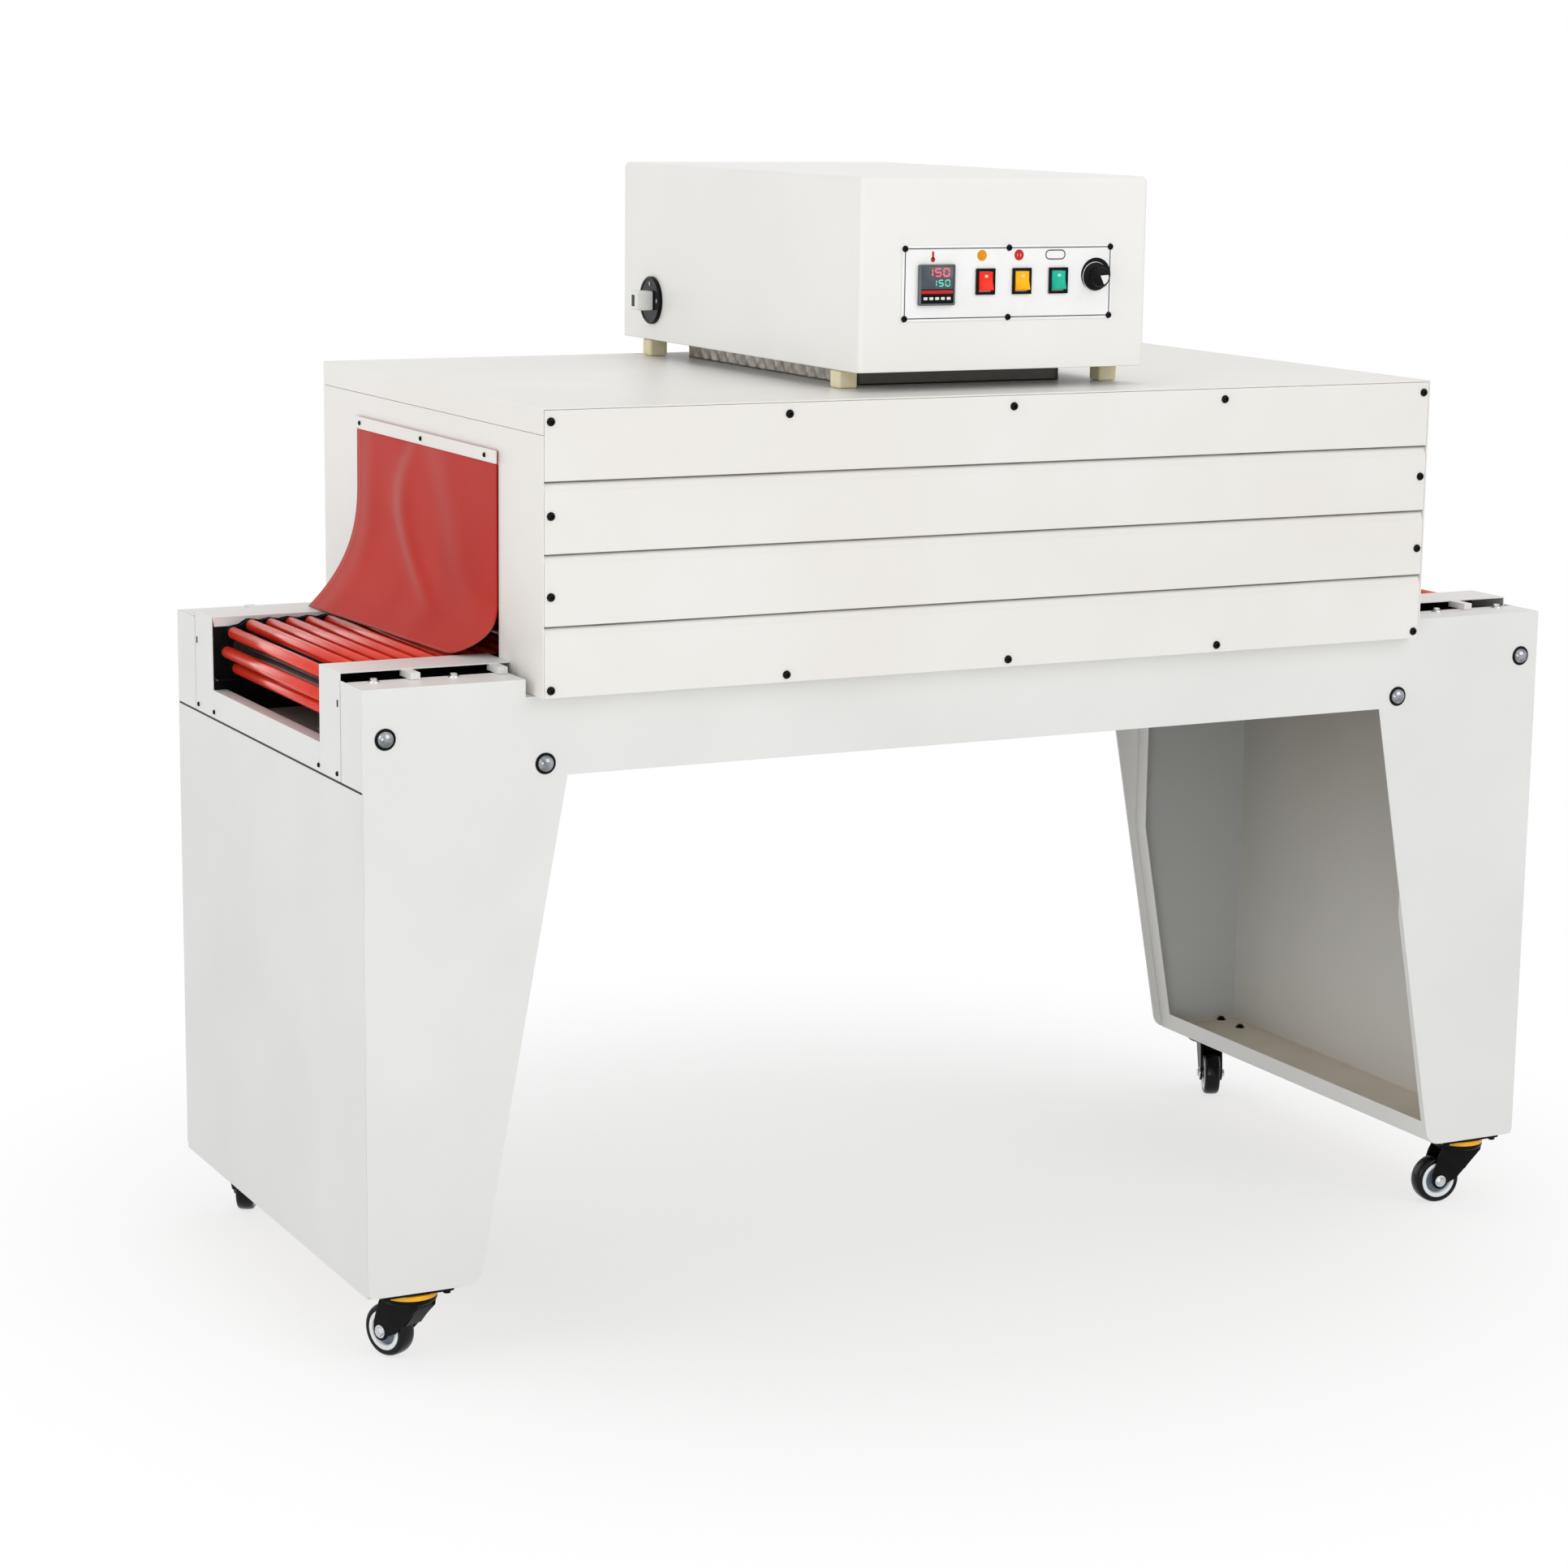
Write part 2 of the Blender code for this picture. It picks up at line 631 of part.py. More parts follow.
def chain_rail(name, turn_deg):
    """The black side rail: a web beside the chain and a ledge under its returning run."""
    ledge_top = PITCH_LINE_Z - 2 * SPROCKET_PITCH_RADIUS - CHAIN_HALF_HEIGHT - GAP
    foot = DECK_TOP_Z + GAP
    outline = (
        (-RAIL_OUTER_Y, foot),
        (-RAIL_INNER_Y, foot),
        (-RAIL_INNER_Y, ledge_top - LEDGE_THICKNESS),
        (-CHAIN_INNER_Y, ledge_top - LEDGE_THICKNESS),
        (-CHAIN_INNER_Y, ledge_top),
        (-RAIL_INNER_Y, ledge_top),
        (-RAIL_INNER_Y, RAIL_TOP_Z),
        (-RAIL_OUTER_Y, RAIL_TOP_Z),
    )
    mesh = extruded_mesh(name, outline, "X", -RAIL_HALF_LENGTH, RAIL_HALF_LENGTH)
    made = piece(name, mesh, BLACK_STEEL)
    made.rotation_euler.z = math.radians(turn_deg)
    for side in (-1, 1):
        hole = cylinder_mesh(
            name + "_journal_hole", JOURNAL_RADIUS + GAP, -RAIL_OUTER_Y - OVERRUN, -RAIL_INNER_Y + OVERRUN,
            ROUND_STEPS, "Y", (side * HALF_LOOP, 0.0, SPROCKET_Z),
        )
        tool = cutter(f"{name}_journal_cutter_{side}", hole)
        tool.rotation_euler.z = math.radians(turn_deg)
        combine(made, tool, "DIFFERENCE")
    return made


def bed_plate():
    """The flat bed that carries the upper run of the chain, folded down at its sides and ends."""
    top = PITCH_LINE_Z - CHAIN_HALF_HEIGHT - GAP
    half_y = RAIL_INNER_Y - GAP
    size = (2 * BED_HALF_LENGTH, 2 * half_y, BED_FLANGE)
    mesh = open_box_mesh("bed_plate", size, (0.0, 0.0, top - BED_FLANGE / 2), [(0, 0, -1)])
    solidify(piece("bed_plate", mesh, GREY_PAINT), SHEET)


def loop_point(run, radius_shift=0.0):
    """A place on the chain's closed path, at a run along its pitch line from the top middle."""
    straight = HALF_LOOP
    radius = SPROCKET_PITCH_RADIUS + radius_shift
    run = run % (4 * straight + 2 * SPROCKET_WRAP)
    if run < straight:
        return run, SPROCKET_Z + radius
    run -= straight
    if run < SPROCKET_WRAP:
        angle = run / SPROCKET_PITCH_RADIUS
        return straight + radius * math.sin(angle), SPROCKET_Z + radius * math.cos(angle)
    run -= SPROCKET_WRAP
    if run < 2 * straight:
        return straight - run, SPROCKET_Z - radius
    run -= 2 * straight
    if run < SPROCKET_WRAP:
        angle = math.pi + run / SPROCKET_PITCH_RADIUS
        return -straight + radius * math.sin(angle), SPROCKET_Z + radius * math.cos(angle)
    return run - SPROCKET_WRAP - straight, SPROCKET_Z + radius


def chain_edge(side):
    """One edge of the chain's link plates: tall at each pin and waisted between two pins."""
    points = []
    for index in range(ROLLER_COUNT):
        run = index * ROLLER_PITCH - ROLLER_PHASE
        points.append(loop_point(run, side * CHAIN_HALF_HEIGHT))
        points.append(loop_point(run + ROLLER_PITCH / 2, side * CHAIN_WAIST_HALF_HEIGHT))
    return points


def roller_loop():
    """The endless conveyor: every roller carried at both ends by a chain."""
    outer = chain_edge(1)
    inner = chain_edge(-1)
    shape = bmesh.new()
    for low, high in ((-CHAIN_OUTER_Y, -CHAIN_INNER_Y), (CHAIN_INNER_Y, CHAIN_OUTER_Y)):
        rings = []
        for line in (outer, inner):
            for place in (low, high):
                rings.append([shape.verts.new((x, place, z)) for x, z in line])
        outer_low, outer_high, inner_low, inner_high = rings
        count = len(outer)
        for index in range(count):
            after = (index + 1) % count
            for first, second in (
                (outer_low, outer_high),
                (outer_high, inner_high),
                (inner_high, inner_low),
                (inner_low, outer_low),
            ):
                shape.faces.new((first[index], first[after], second[after], second[index]))
    bmesh.ops.recalc_face_normals(shape, faces=shape.faces)
    made = piece("roller_conveyor", finished_mesh("roller_conveyor", shape), RED_ROLLER)
    rollers = bmesh.new()
    flat_up = Matrix.Rotation(math.pi / ROLLER_SIDES, 4, "Z")
    lie = Matrix.Rotation(math.pi / 2, 4, "X")
    for index in range(ROLLER_COUNT):
        x, z = loop_point(index * ROLLER_PITCH - ROLLER_PHASE)
        bmesh.ops.create_cone(
            rollers, cap_ends=True, segments=ROLLER_SIDES, radius1=ROLLER_RADIUS, radius2=ROLLER_RADIUS,
            depth=ROLLER_LENGTH, matrix=Matrix.Translation((x, 0.0, z)) @ lie @ flat_up,
        )
    tool = cutter("roller_set", finished_mesh("roller_set", rollers))
    combine(made, tool, "UNION")
    return made


def end_axle(name, side):
    """The flat cross bar at one end of the conveyor, with its two sprockets and journals."""
    radius = SPROCKET_PITCH_RADIUS - CHAIN_HALF_HEIGHT - SPROCKET_CLEARANCE
    centre = (side * HALF_LOOP, 0.0, SPROCKET_Z)
    sprocket_y = (CHAIN_INNER_Y + CHAIN_OUTER_Y) / 2
    bar = box_mesh(name, (AXLE_BAR_WIDTH, 2 * sprocket_y, AXLE_BAR_HEIGHT), centre)
    made = piece(name, bar, GREY_PAINT)
    for end in (-1, 1):
        start = end * sprocket_y - SPROCKET_THICKNESS / 2
        ends = (start, start + SPROCKET_THICKNESS)
        disc = cylinder_mesh(name + "_sprocket", radius, *ends, ROUND_STEPS, "Y", centre)
        combine(made, cutter(f"{name}_sprocket_{end}", disc), "UNION")
    ends = (-RAIL_OUTER_Y, RAIL_OUTER_Y)
    journal = cylinder_mesh(name + "_journal", JOURNAL_RADIUS, *ends, ROUND_STEPS, "Y", centre)
    combine(made, cutter(name + "_journal", journal), "UNION")
    return made


def chain_cover(name, end, side):
    """A white cover over the chain at one end: top, end wall, inner lip and two tabs to the panel."""
    inner_x = HALF_TUNNEL_LENGTH + GAP
    length = HALF_LENGTH - inner_x
    width = COVER_OUTER_Y - COVER_INNER_Y
    height = COVER_TOP_Z - SEAM_Z
    shape = bmesh.new()
    bmesh.ops.create_cube(shape, size=1.0)
    bmesh.ops.scale(shape, vec=(length, width, height), verts=shape.verts)
    shape.normal_update()
    gone = [face for face in shape.faces if max(face.normal.x, face.normal.z) < FACING_SHARE]
    bmesh.ops.delete(shape, geom=gone, context="FACES")
    inward = -end * side
    edges = []
    for edge in shape.edges:
        along = edge.verts[0].co - edge.verts[1].co
        middle = (edge.verts[0].co + edge.verts[1].co) / 2
        if abs(along.x) > MERGE and middle.z > 0 and middle.y * inward > 0:
            edges.append(edge)
    new = bmesh.ops.extrude_edge_only(shape, edges=edges)["geom"]
    for vertex in [item for item in new if isinstance(item, bmesh.types.BMVert)]:
        vertex.co.z -= COVER_LIP
        if vertex.co.x > 0:
            vertex.co.x -= 2 * THIN_SHEET
    place = (end * (inner_x + length / 2), side * (COVER_INNER_Y + width / 2), SEAM_Z + height / 2)
    made = piece(name, finished_mesh(name, shape), WHITE_PAINT, place)
    made.rotation_euler.z = 0.0 if end > 0 else math.pi
    solidify(made, THIN_SHEET)
    foot = PANEL_TOP_Z + GAP
    top = COVER_TOP_Z - THIN_SHEET / 2
    middle_y = COVER_OUTER_Y + (TAB_REACH - TAB_UNDERLAP) / 2
    for index, share in enumerate(TAB_SHARES):
        tab_name = f"{name}_tab_{index + 1}"
        tab = box_mesh(tab_name, (TAB_WIDTH, TAB_REACH + TAB_UNDERLAP, top - foot))
        tab_place = (end * (HALF_LENGTH - share * length), side * middle_y, (top + foot) / 2)
        combine(made, cutter(tab_name, tab, tab_place), "UNION")


def tunnel_panel(name, turn_deg):
    """A ribbed side of the tunnel, whose lower edge folds in to make its foot."""
    face = -HALF_TUNNEL
    pitch = (TUNNEL_TOP_Z - TUNNEL_BOTTOM_Z) / BAND_COUNT
    half = HALF_TUNNEL_LENGTH - SHEET - GAP
    profile = [(face, TUNNEL_TOP_Z - SHEET - GAP)]
    for index in range(1, BAND_COUNT):
        line = TUNNEL_TOP_Z - index * pitch
        profile.append((face, line))
        profile.append((face + GROOVE_DEPTH, line))
        profile.append((face, line - GROOVE_HEIGHT))
    profile.append((face, TUNNEL_BOTTOM_Z))
    profile.append((face + PANEL_FOOT, TUNNEL_BOTTOM_Z))
    mesh = bent_mesh(name, profile, "X", -half, half, (0.0, -1.0, 0.0))
    made = piece(name, mesh, WHITE_PAINT)
    made.rotation_euler.z = math.radians(turn_deg)
    return solidify(made, SHEET)


def end_frame(name, side):
    """An end wall of the tunnel, round three sides of its mouth."""
    half = HALF_TUNNEL
    low = TUNNEL_BOTTOM_Z
    high = TUNNEL_TOP_Z - LID_FLANGE - GAP
    mouth = OPENING_WIDTH / 2
    outline = (
        (-half, low), (-mouth, low), (-mouth, OPENING_TOP_Z), (mouth, OPENING_TOP_Z),
        (mouth, low), (half, low), (half, high), (-half, high),
    )
    outer = side * HALF_TUNNEL_LENGTH
    inner = side * (HALF_TUNNEL_LENGTH - SHEET)
    piece(name, extruded_mesh(name, outline, "X", min(outer, inner), max(outer, inner)), WHITE_PAINT)


def tunnel_lid():
    """The roof of the tunnel, folded down over both end walls."""
    size = (TUNNEL_LENGTH, TUNNEL_DEPTH, LID_FLANGE)
    centre = (0.0, 0.0, TUNNEL_TOP_Z - LID_FLANGE / 2)
    mesh = open_box_mesh("tunnel_roof", size, centre, [(0, 0, -1), (0, 1, 0), (0, -1, 0)])
    solidify(piece("tunnel_roof", mesh, WHITE_PAINT), SHEET)


def chamber_liner():
    """The insulated wall round the heated passage."""
    inner = OPENING_WIDTH / 2 + LINER_CLEARANCE
    outer = inner + LINER_WALL
    low = TUNNEL_BOTTOM_Z + SHEET + GAP
    ceiling = OPENING_TOP_Z + LINER_TOP_CLEARANCE
    outline = (
        (-outer, low), (-inner, low), (-inner, ceiling), (inner, ceiling), (inner, low), (outer, low),
        (outer, ceiling + LINER_WALL), (-outer, ceiling + LINER_WALL),
    )
    half = HALF_TUNNEL_LENGTH - SHEET - GAP
    piece("chamber_liner", extruded_mesh("chamber_liner", outline, "X", -half, half), LINER)


def curtain(name, side):
    """A hanging curtain that curls outward where it meets the rollers, more at its back edge."""
    shape = bmesh.new()
    half = OPENING_WIDTH / 2 - CURTAIN_EDGE_CLEARANCE
    face = HALF_TUNNEL_LENGTH + GAP + CURTAIN_THICKNESS
    rows = []
    for column in range(CURTAIN_COLUMNS + 1):
        part = column / CURTAIN_COLUMNS
        bend = CURTAIN_BEND_NEAR_Z + (CURTAIN_BEND_FAR_Z - CURTAIN_BEND_NEAR_Z) * part
        reach = CURTAIN_REACH_NEAR + (CURTAIN_REACH_FAR - CURTAIN_REACH_NEAR) * part
        row = [shape.verts.new((side * face, -half + 2 * half * part, CURTAIN_TOP_Z))]
        for index in range(CURTAIN_ROWS + 1):
            share = index / CURTAIN_ROWS
            out = reach * share ** CURTAIN_CURL_POWER
            height = bend + (CURTAIN_END_Z - bend) * share
            row.append(shape.verts.new((side * (face + out), -half + 2 * half * part, height)))
        rows.append(row)
    for first, second in zip(rows, rows[1:]):
        for index in range(len(first) - 1):
            shape.faces.new((first[index], second[index], second[index + 1], first[index + 1]))
    bmesh.ops.recalc_face_normals(shape, faces=shape.faces)
    shape.faces.ensure_lookup_table()
    if shape.faces[0].normal.x * side < 0:
        bmesh.ops.reverse_faces(shape, faces=shape.faces)
    return solidify(piece(name, finished_mesh(name, shape), RED_SILICONE), CURTAIN_THICKNESS)


def curtain_clamp(name, side):
    """The white bar that clamps a curtain above the mouth."""
    inner = HALF_TUNNEL_LENGTH + CURTAIN_THICKNESS + 2 * GAP
    size = (CLAMP_THICKNESS, OPENING_WIDTH + 2 * CLAMP_OVERLAP, CLAMP_HEIGHT)
    centre = (side * (inner + CLAMP_THICKNESS / 2), 0.0, CLAMP_BOTTOM_Z + CLAMP_HEIGHT / 2)
    bevel(piece(name, box_mesh(name, size), WHITE_PAINT, centre), CLAMP_EDGE)


def fan_collar():
    """The low collar round the fan motor, between the roof and the control box."""
    centre = (COLLAR_CENTRE_X, COLLAR_CENTRE_Y, TUNNEL_TOP_Z + GAP + COLLAR_HEIGHT / 2)
    size = (COLLAR_WIDTH, COLLAR_DEPTH, COLLAR_HEIGHT)
    mesh = open_box_mesh("fan_collar", size, centre, [(0, 0, -1), (0, 0, 1)])
    solidify(piece("fan_collar", mesh, ZINC), SHEET)


def spacer_feet():
    """Four blocks that hold the control box off the hot roof."""
    reach_x = BOX_WIDTH / 2 - FOOT_INSET_X
    reach_y = BOX_DEPTH / 2 - FOOT_INSET_Y
    for depth_name, side in (("front", -1), ("back", 1)):
        for end_name, end in (("left", -1), ("right", 1)):
            name = f"spacer_foot_{depth_name}_{end_name}"
            centre = (
                BOX_CENTRE_X + end * reach_x,
                BOX_CENTRE_Y + side * reach_y,
                TUNNEL_TOP_Z + GAP + FOOT_HEIGHT / 2,
            )
            mesh = box_mesh(name, (FOOT_WIDTH, FOOT_WIDTH, FOOT_HEIGHT))
            bevel(piece(name, mesh, CREAM_PLASTIC, centre), FOOT_EDGE)


def control_box():
    """The control housing: a soft-edged shell, open below, with a window behind its plate."""
    centre = (BOX_CENTRE_X, BOX_CENTRE_Y, BOX_BOTTOM_Z + CONTROL_BOX_HEIGHT / 2)
    size = (BOX_WIDTH, BOX_DEPTH, CONTROL_BOX_HEIGHT)
    mesh = open_box_mesh("control_box", size, (0.0, 0.0, 0.0), [(0, 0, -1)])
    made = piece("control_box", mesh, WHITE_PAINT, centre)
    bevel(made, BOX_EDGE_RADIUS, BOX_EDGE_SEGMENTS)
    solidify(made, SHEET)
    plate_x = BOX_LEFT_X + PLATE_LEFT + PLATE_WIDTH / 2
    plate_z = BOX_TOP_Z - PLATE_DROP - PLATE_HEIGHT / 2
    window_width = PLATE_WIDTH - 2 * PLATE_WINDOW_MARGIN
    window_height = PLATE_HEIGHT - 2 * PLATE_WINDOW_MARGIN
    window = box_mesh("plate_window", (window_width, 2 * (SHEET + OVERRUN), window_height))
    combine(made, cutter("plate_window", window, (plate_x, BOX_FRONT_Y, plate_z)), "DIFFERENCE")
    shaft_y = BOX_FRONT_Y + BOX_DEPTH - ISOLATOR_FROM_BACK
    shaft_z = BOX_BOTTOM_Z + ISOLATOR_UP
    hole = cylinder_mesh(
        "isolator_hole", HANDLE_SHAFT_RADIUS + GAP, -SHEET - OVERRUN, SHEET + OVERRUN, ROUND_STEPS, "X",
    )
    combine(made, cutter("isolator_hole", hole, (BOX_LEFT_X, shaft_y, shaft_z)), "DIFFERENCE")
    inside = SHEET + BOX_EDGE_RADIUS
    base_size = (BOX_WIDTH - 2 * SHEET - 2 * GAP, BOX_DEPTH - 2 * SHEET - 2 * GAP, THIN_SHEET)
    base_centre = (BOX_CENTRE_X, BOX_CENTRE_Y, BOX_BOTTOM_Z + THIN_SHEET / 2)
    base = piece("control_box_base", box_mesh("control_box_base", base_size), ZINC, base_centre)
    trim = base.modifiers.new("corners", "BEVEL")
    trim.width = inside
    trim.segments = BOX_EDGE_SEGMENTS
    trim.affect = "EDGES"
    trim.limit_method = "WEIGHT"
    weights = base.data.attributes.new("bevel_weight_edge", "FLOAT", "EDGE")
    for edge in base.data.edges:
        ends = [base.data.vertices[index].co for index in edge.vertices]
        weights.data[edge.index].value = 1.0 if abs(ends[0].z - ends[1].z) > MERGE else 0.0
    fan = cylinder_mesh("fan_hole", FAN_HOLE_RADIUS, -OVERRUN, OVERRUN, ROUND_STEPS)
    fan_place = (COLLAR_CENTRE_X, COLLAR_CENTRE_Y, BOX_BOTTOM_Z + THIN_SHEET / 2)
    combine(base, cutter("fan_hole", fan, fan_place), "DIFFERENCE")


def control_plate():
    """The plate that carries the meter, three rocker switches and the speed knob."""
    plate_x = BOX_LEFT_X + PLATE_LEFT + PLATE_WIDTH / 2
    plate_z = BOX_TOP_Z - PLATE_DROP - PLATE_HEIGHT / 2
    centre_y = BOX_FRONT_Y - GAP - THIN_SHEET / 2
    mesh = box_mesh("control_plate", (PLATE_WIDTH, THIN_SHEET, PLATE_HEIGHT))
    plate = piece("control_plate", mesh, WHITE_PLASTIC, (plate_x, centre_y, plate_z))
    through = THIN_SHEET + 2 * OVERRUN
    meter_x = BOX_LEFT_X + METER_LEFT + METER_SIZE / 2
    meter_z = BOX_TOP_Z - METER_DROP - METER_SIZE / 2
    hole = METER_BODY + 2 * GAP
    cut = box_mesh("meter_cutout", (hole, through, hole))
    combine(plate, cutter("meter_cutout", cut, (meter_x, centre_y, meter_z)), "DIFFERENCE")
    for index, left in enumerate(SWITCH_PLACES):
        name = f"switch_cutout_{index + 1}"
        cut = box_mesh(name, (SWITCH_BODY_WIDTH + 2 * GAP, through, SWITCH_BODY_HEIGHT + 2 * GAP))
        place = (BOX_LEFT_X + left, centre_y, BOX_TOP_Z - SWITCH_DROP)
        combine(plate, cutter(name, cut, place), "DIFFERENCE")
    shaft = cylinder_mesh(
        "knob_hole", KNOB_SHAFT_RADIUS + GAP, -through / 2, through / 2, ROUND_STEPS, "Y",
    )
    shaft_place = (BOX_LEFT_X + KNOB_LEFT, centre_y, BOX_TOP_Z - KNOB_DROP)
    combine(plate, cutter("knob_hole", shaft, shaft_place), "DIFFERENCE")
    temperature_meter(meter_x, meter_z)
    for (colour, finish), left in zip(LAMP_COLOURS.items(), SWITCH_PLACES):
        rocker_switch(colour, finish, BOX_LEFT_X + left, BOX_TOP_Z - SWITCH_DROP)
    speed_knob(BOX_LEFT_X + KNOB_LEFT, BOX_TOP_Z - KNOB_DROP)


def temperature_meter(x, z):
    """The square temperature controller, face and body."""
    face_back = PLATE_FACE_Y - GAP
    face = box_mesh("temperature_controller", (METER_SIZE, METER_FACE, METER_SIZE))
    made = piece("temperature_controller", face, BLACK_PLASTIC, (x, face_back - METER_FACE / 2, z))
    depth = METER_BODY_DEPTH
    body = box_mesh("meter_body", (METER_BODY, depth, METER_BODY))
    start = face_back - METER_FACE / 2
    combine(made, cutter("meter_body", body, (x, start + depth / 2, z)), "UNION")


def rocker_switch(colour, finish, x, z):
    """A framed rocker switch, whose rocker turns about X."""
    frame_back = PLATE_FACE_Y - GAP
    frame_front = frame_back - SWITCH_FRAME_FACE
    name = f"switch_frame_{colour}"
    frame = box_mesh(name, (SWITCH_FRAME_WIDTH, SWITCH_FRAME_FACE, SWITCH_FRAME_HEIGHT))
    made = piece(name, frame, BLACK_PLASTIC, (x, (frame_back + frame_front) / 2, z))
    body = box_mesh(name + "_body", (SWITCH_BODY_WIDTH, SWITCH_BODY_DEPTH, SWITCH_BODY_HEIGHT))
    body_centre = (x, frame_front + SWITCH_FRAME_FACE / 2 + SWITCH_BODY_DEPTH / 2, z)
    combine(made, cutter(name + "_body", body, body_centre), "UNION")
    pocket_width = SWITCH_BODY_WIDTH - 2 * SWITCH_WALL
    pocket_height = SWITCH_BODY_HEIGHT - 2 * SWITCH_WALL
    pocket_depth = SWITCH_POCKET_DEPTH + OVERRUN
    pocket = box_mesh(name + "_pocket", (pocket_width, pocket_depth, pocket_height))
    pocket_centre = (x, frame_front - OVERRUN + pocket_depth / 2, z)
    combine(made, cutter(name + "_pocket", pocket, pocket_centre), "DIFFERENCE")
    half = pocket_height / 2 - ROCKER_END_CLEARANCE
    rise = half * math.tan(math.radians(ROCKER_TILT_DEG))
    valley = -ROCKER_PIVOT_DEPTH - ROCKER_PROUD
    outline = (
        (valley, 0.0),
        (valley - rise, half),
        (0.0, half),
        (ROCKER_BACK, half * ROCKER_BACK_SHARE),
        (ROCKER_BACK, -half * ROCKER_BACK_SHARE),
        (0.0, -half),
        (valley - rise, -half),
    )
    rocker_half = pocket_width / 2 - ROCKER_SIDE_CLEARANCE
    rocker_name = f"rocker_{colour}"
    mesh = extruded_mesh(rocker_name, outline, "X", -rocker_half, rocker_half)
    pivot = (x, frame_front + ROCKER_PIVOT_DEPTH, z)
    rocker = piece(rocker_name, mesh, finish, pivot)
    rocker.rotation_euler.x = math.radians(-ROCKER_TILT_DEG)


def speed_knob(x, z):
    """The conveyor speed knob on its shaft, turned about Y."""
    profile = (
        (0.0, KNOB_HEIGHT),
        (KNOB_TIP_RADIUS, KNOB_HEIGHT),
        (KNOB_GRIP_RADIUS, KNOB_SKIRT_HEIGHT),
        (KNOB_SKIRT_RADIUS, KNOB_SKIRT_HEIGHT),
        (KNOB_SKIRT_RADIUS, 0.0),
        (KNOB_SHAFT_RADIUS, 0.0),
        (KNOB_SHAFT_RADIUS, -KNOB_SHAFT_LENGTH),
        (0.0, -KNOB_SHAFT_LENGTH),
    )
    shape = bmesh.new()
    line = [shape.verts.new((radius, 0.0, height)) for radius, height in profile]
    for pair in zip(line, line[1:]):
        shape.edges.new(pair)
    place = (x, PLATE_FACE_Y - KNOB_FACE_GAP, z)
    made = piece("speed_knob", finished_mesh("speed_knob", shape), BLACK_PLASTIC, place)
    made.rotation_euler.x = math.radians(90)
    turn(made, KNOB_STEPS)


def isolator():
    """The rotary switch on the control box's left side: a round plate and a square handle."""
    y = BOX_FRONT_Y + BOX_DEPTH - ISOLATOR_FROM_BACK
    z = BOX_BOTTOM_Z + ISOLATOR_UP
    back = BOX_LEFT_X - GAP
    plate = cylinder_mesh("isolator_plate", ISOLATOR_RADIUS, -ISOLATOR_THICKNESS, 0.0, ISOLATOR_STEPS, "X")
    made = piece("isolator_plate", plate, BLACK_PLASTIC, (back, y, z))
    ends = (-ISOLATOR_THICKNESS - OVERRUN, OVERRUN)
    hole = cylinder_mesh("isolator_plate_hole", HANDLE_SHAFT_RADIUS + GAP, *ends, ROUND_STEPS, "X")
    combine(made, cutter("isolator_plate_hole", hole, (back, y, z)), "DIFFERENCE")
    face = back - ISOLATOR_THICKNESS - HANDLE_FACE_GAP
    size = (HANDLE_REACH, HANDLE_WIDTH, HANDLE_LENGTH)
    block = box_mesh("isolator_handle", size, (-HANDLE_REACH / 2, 0.0, 0.0))
    handle = bevel(piece("isolator_handle", block, WHITE_PLASTIC, (face, y, z)), HANDLE_EDGE)
    ends = (-HANDLE_REACH / 2, ISOLATOR_THICKNESS + 2 * SHEET)
    shaft = cylinder_mesh("isolator_shaft", HANDLE_SHAFT_RADIUS, *ends, ROUND_STEPS, "X")
    combine(handle, cutter("isolator_shaft", shaft, (face, y, z)), "UNION")


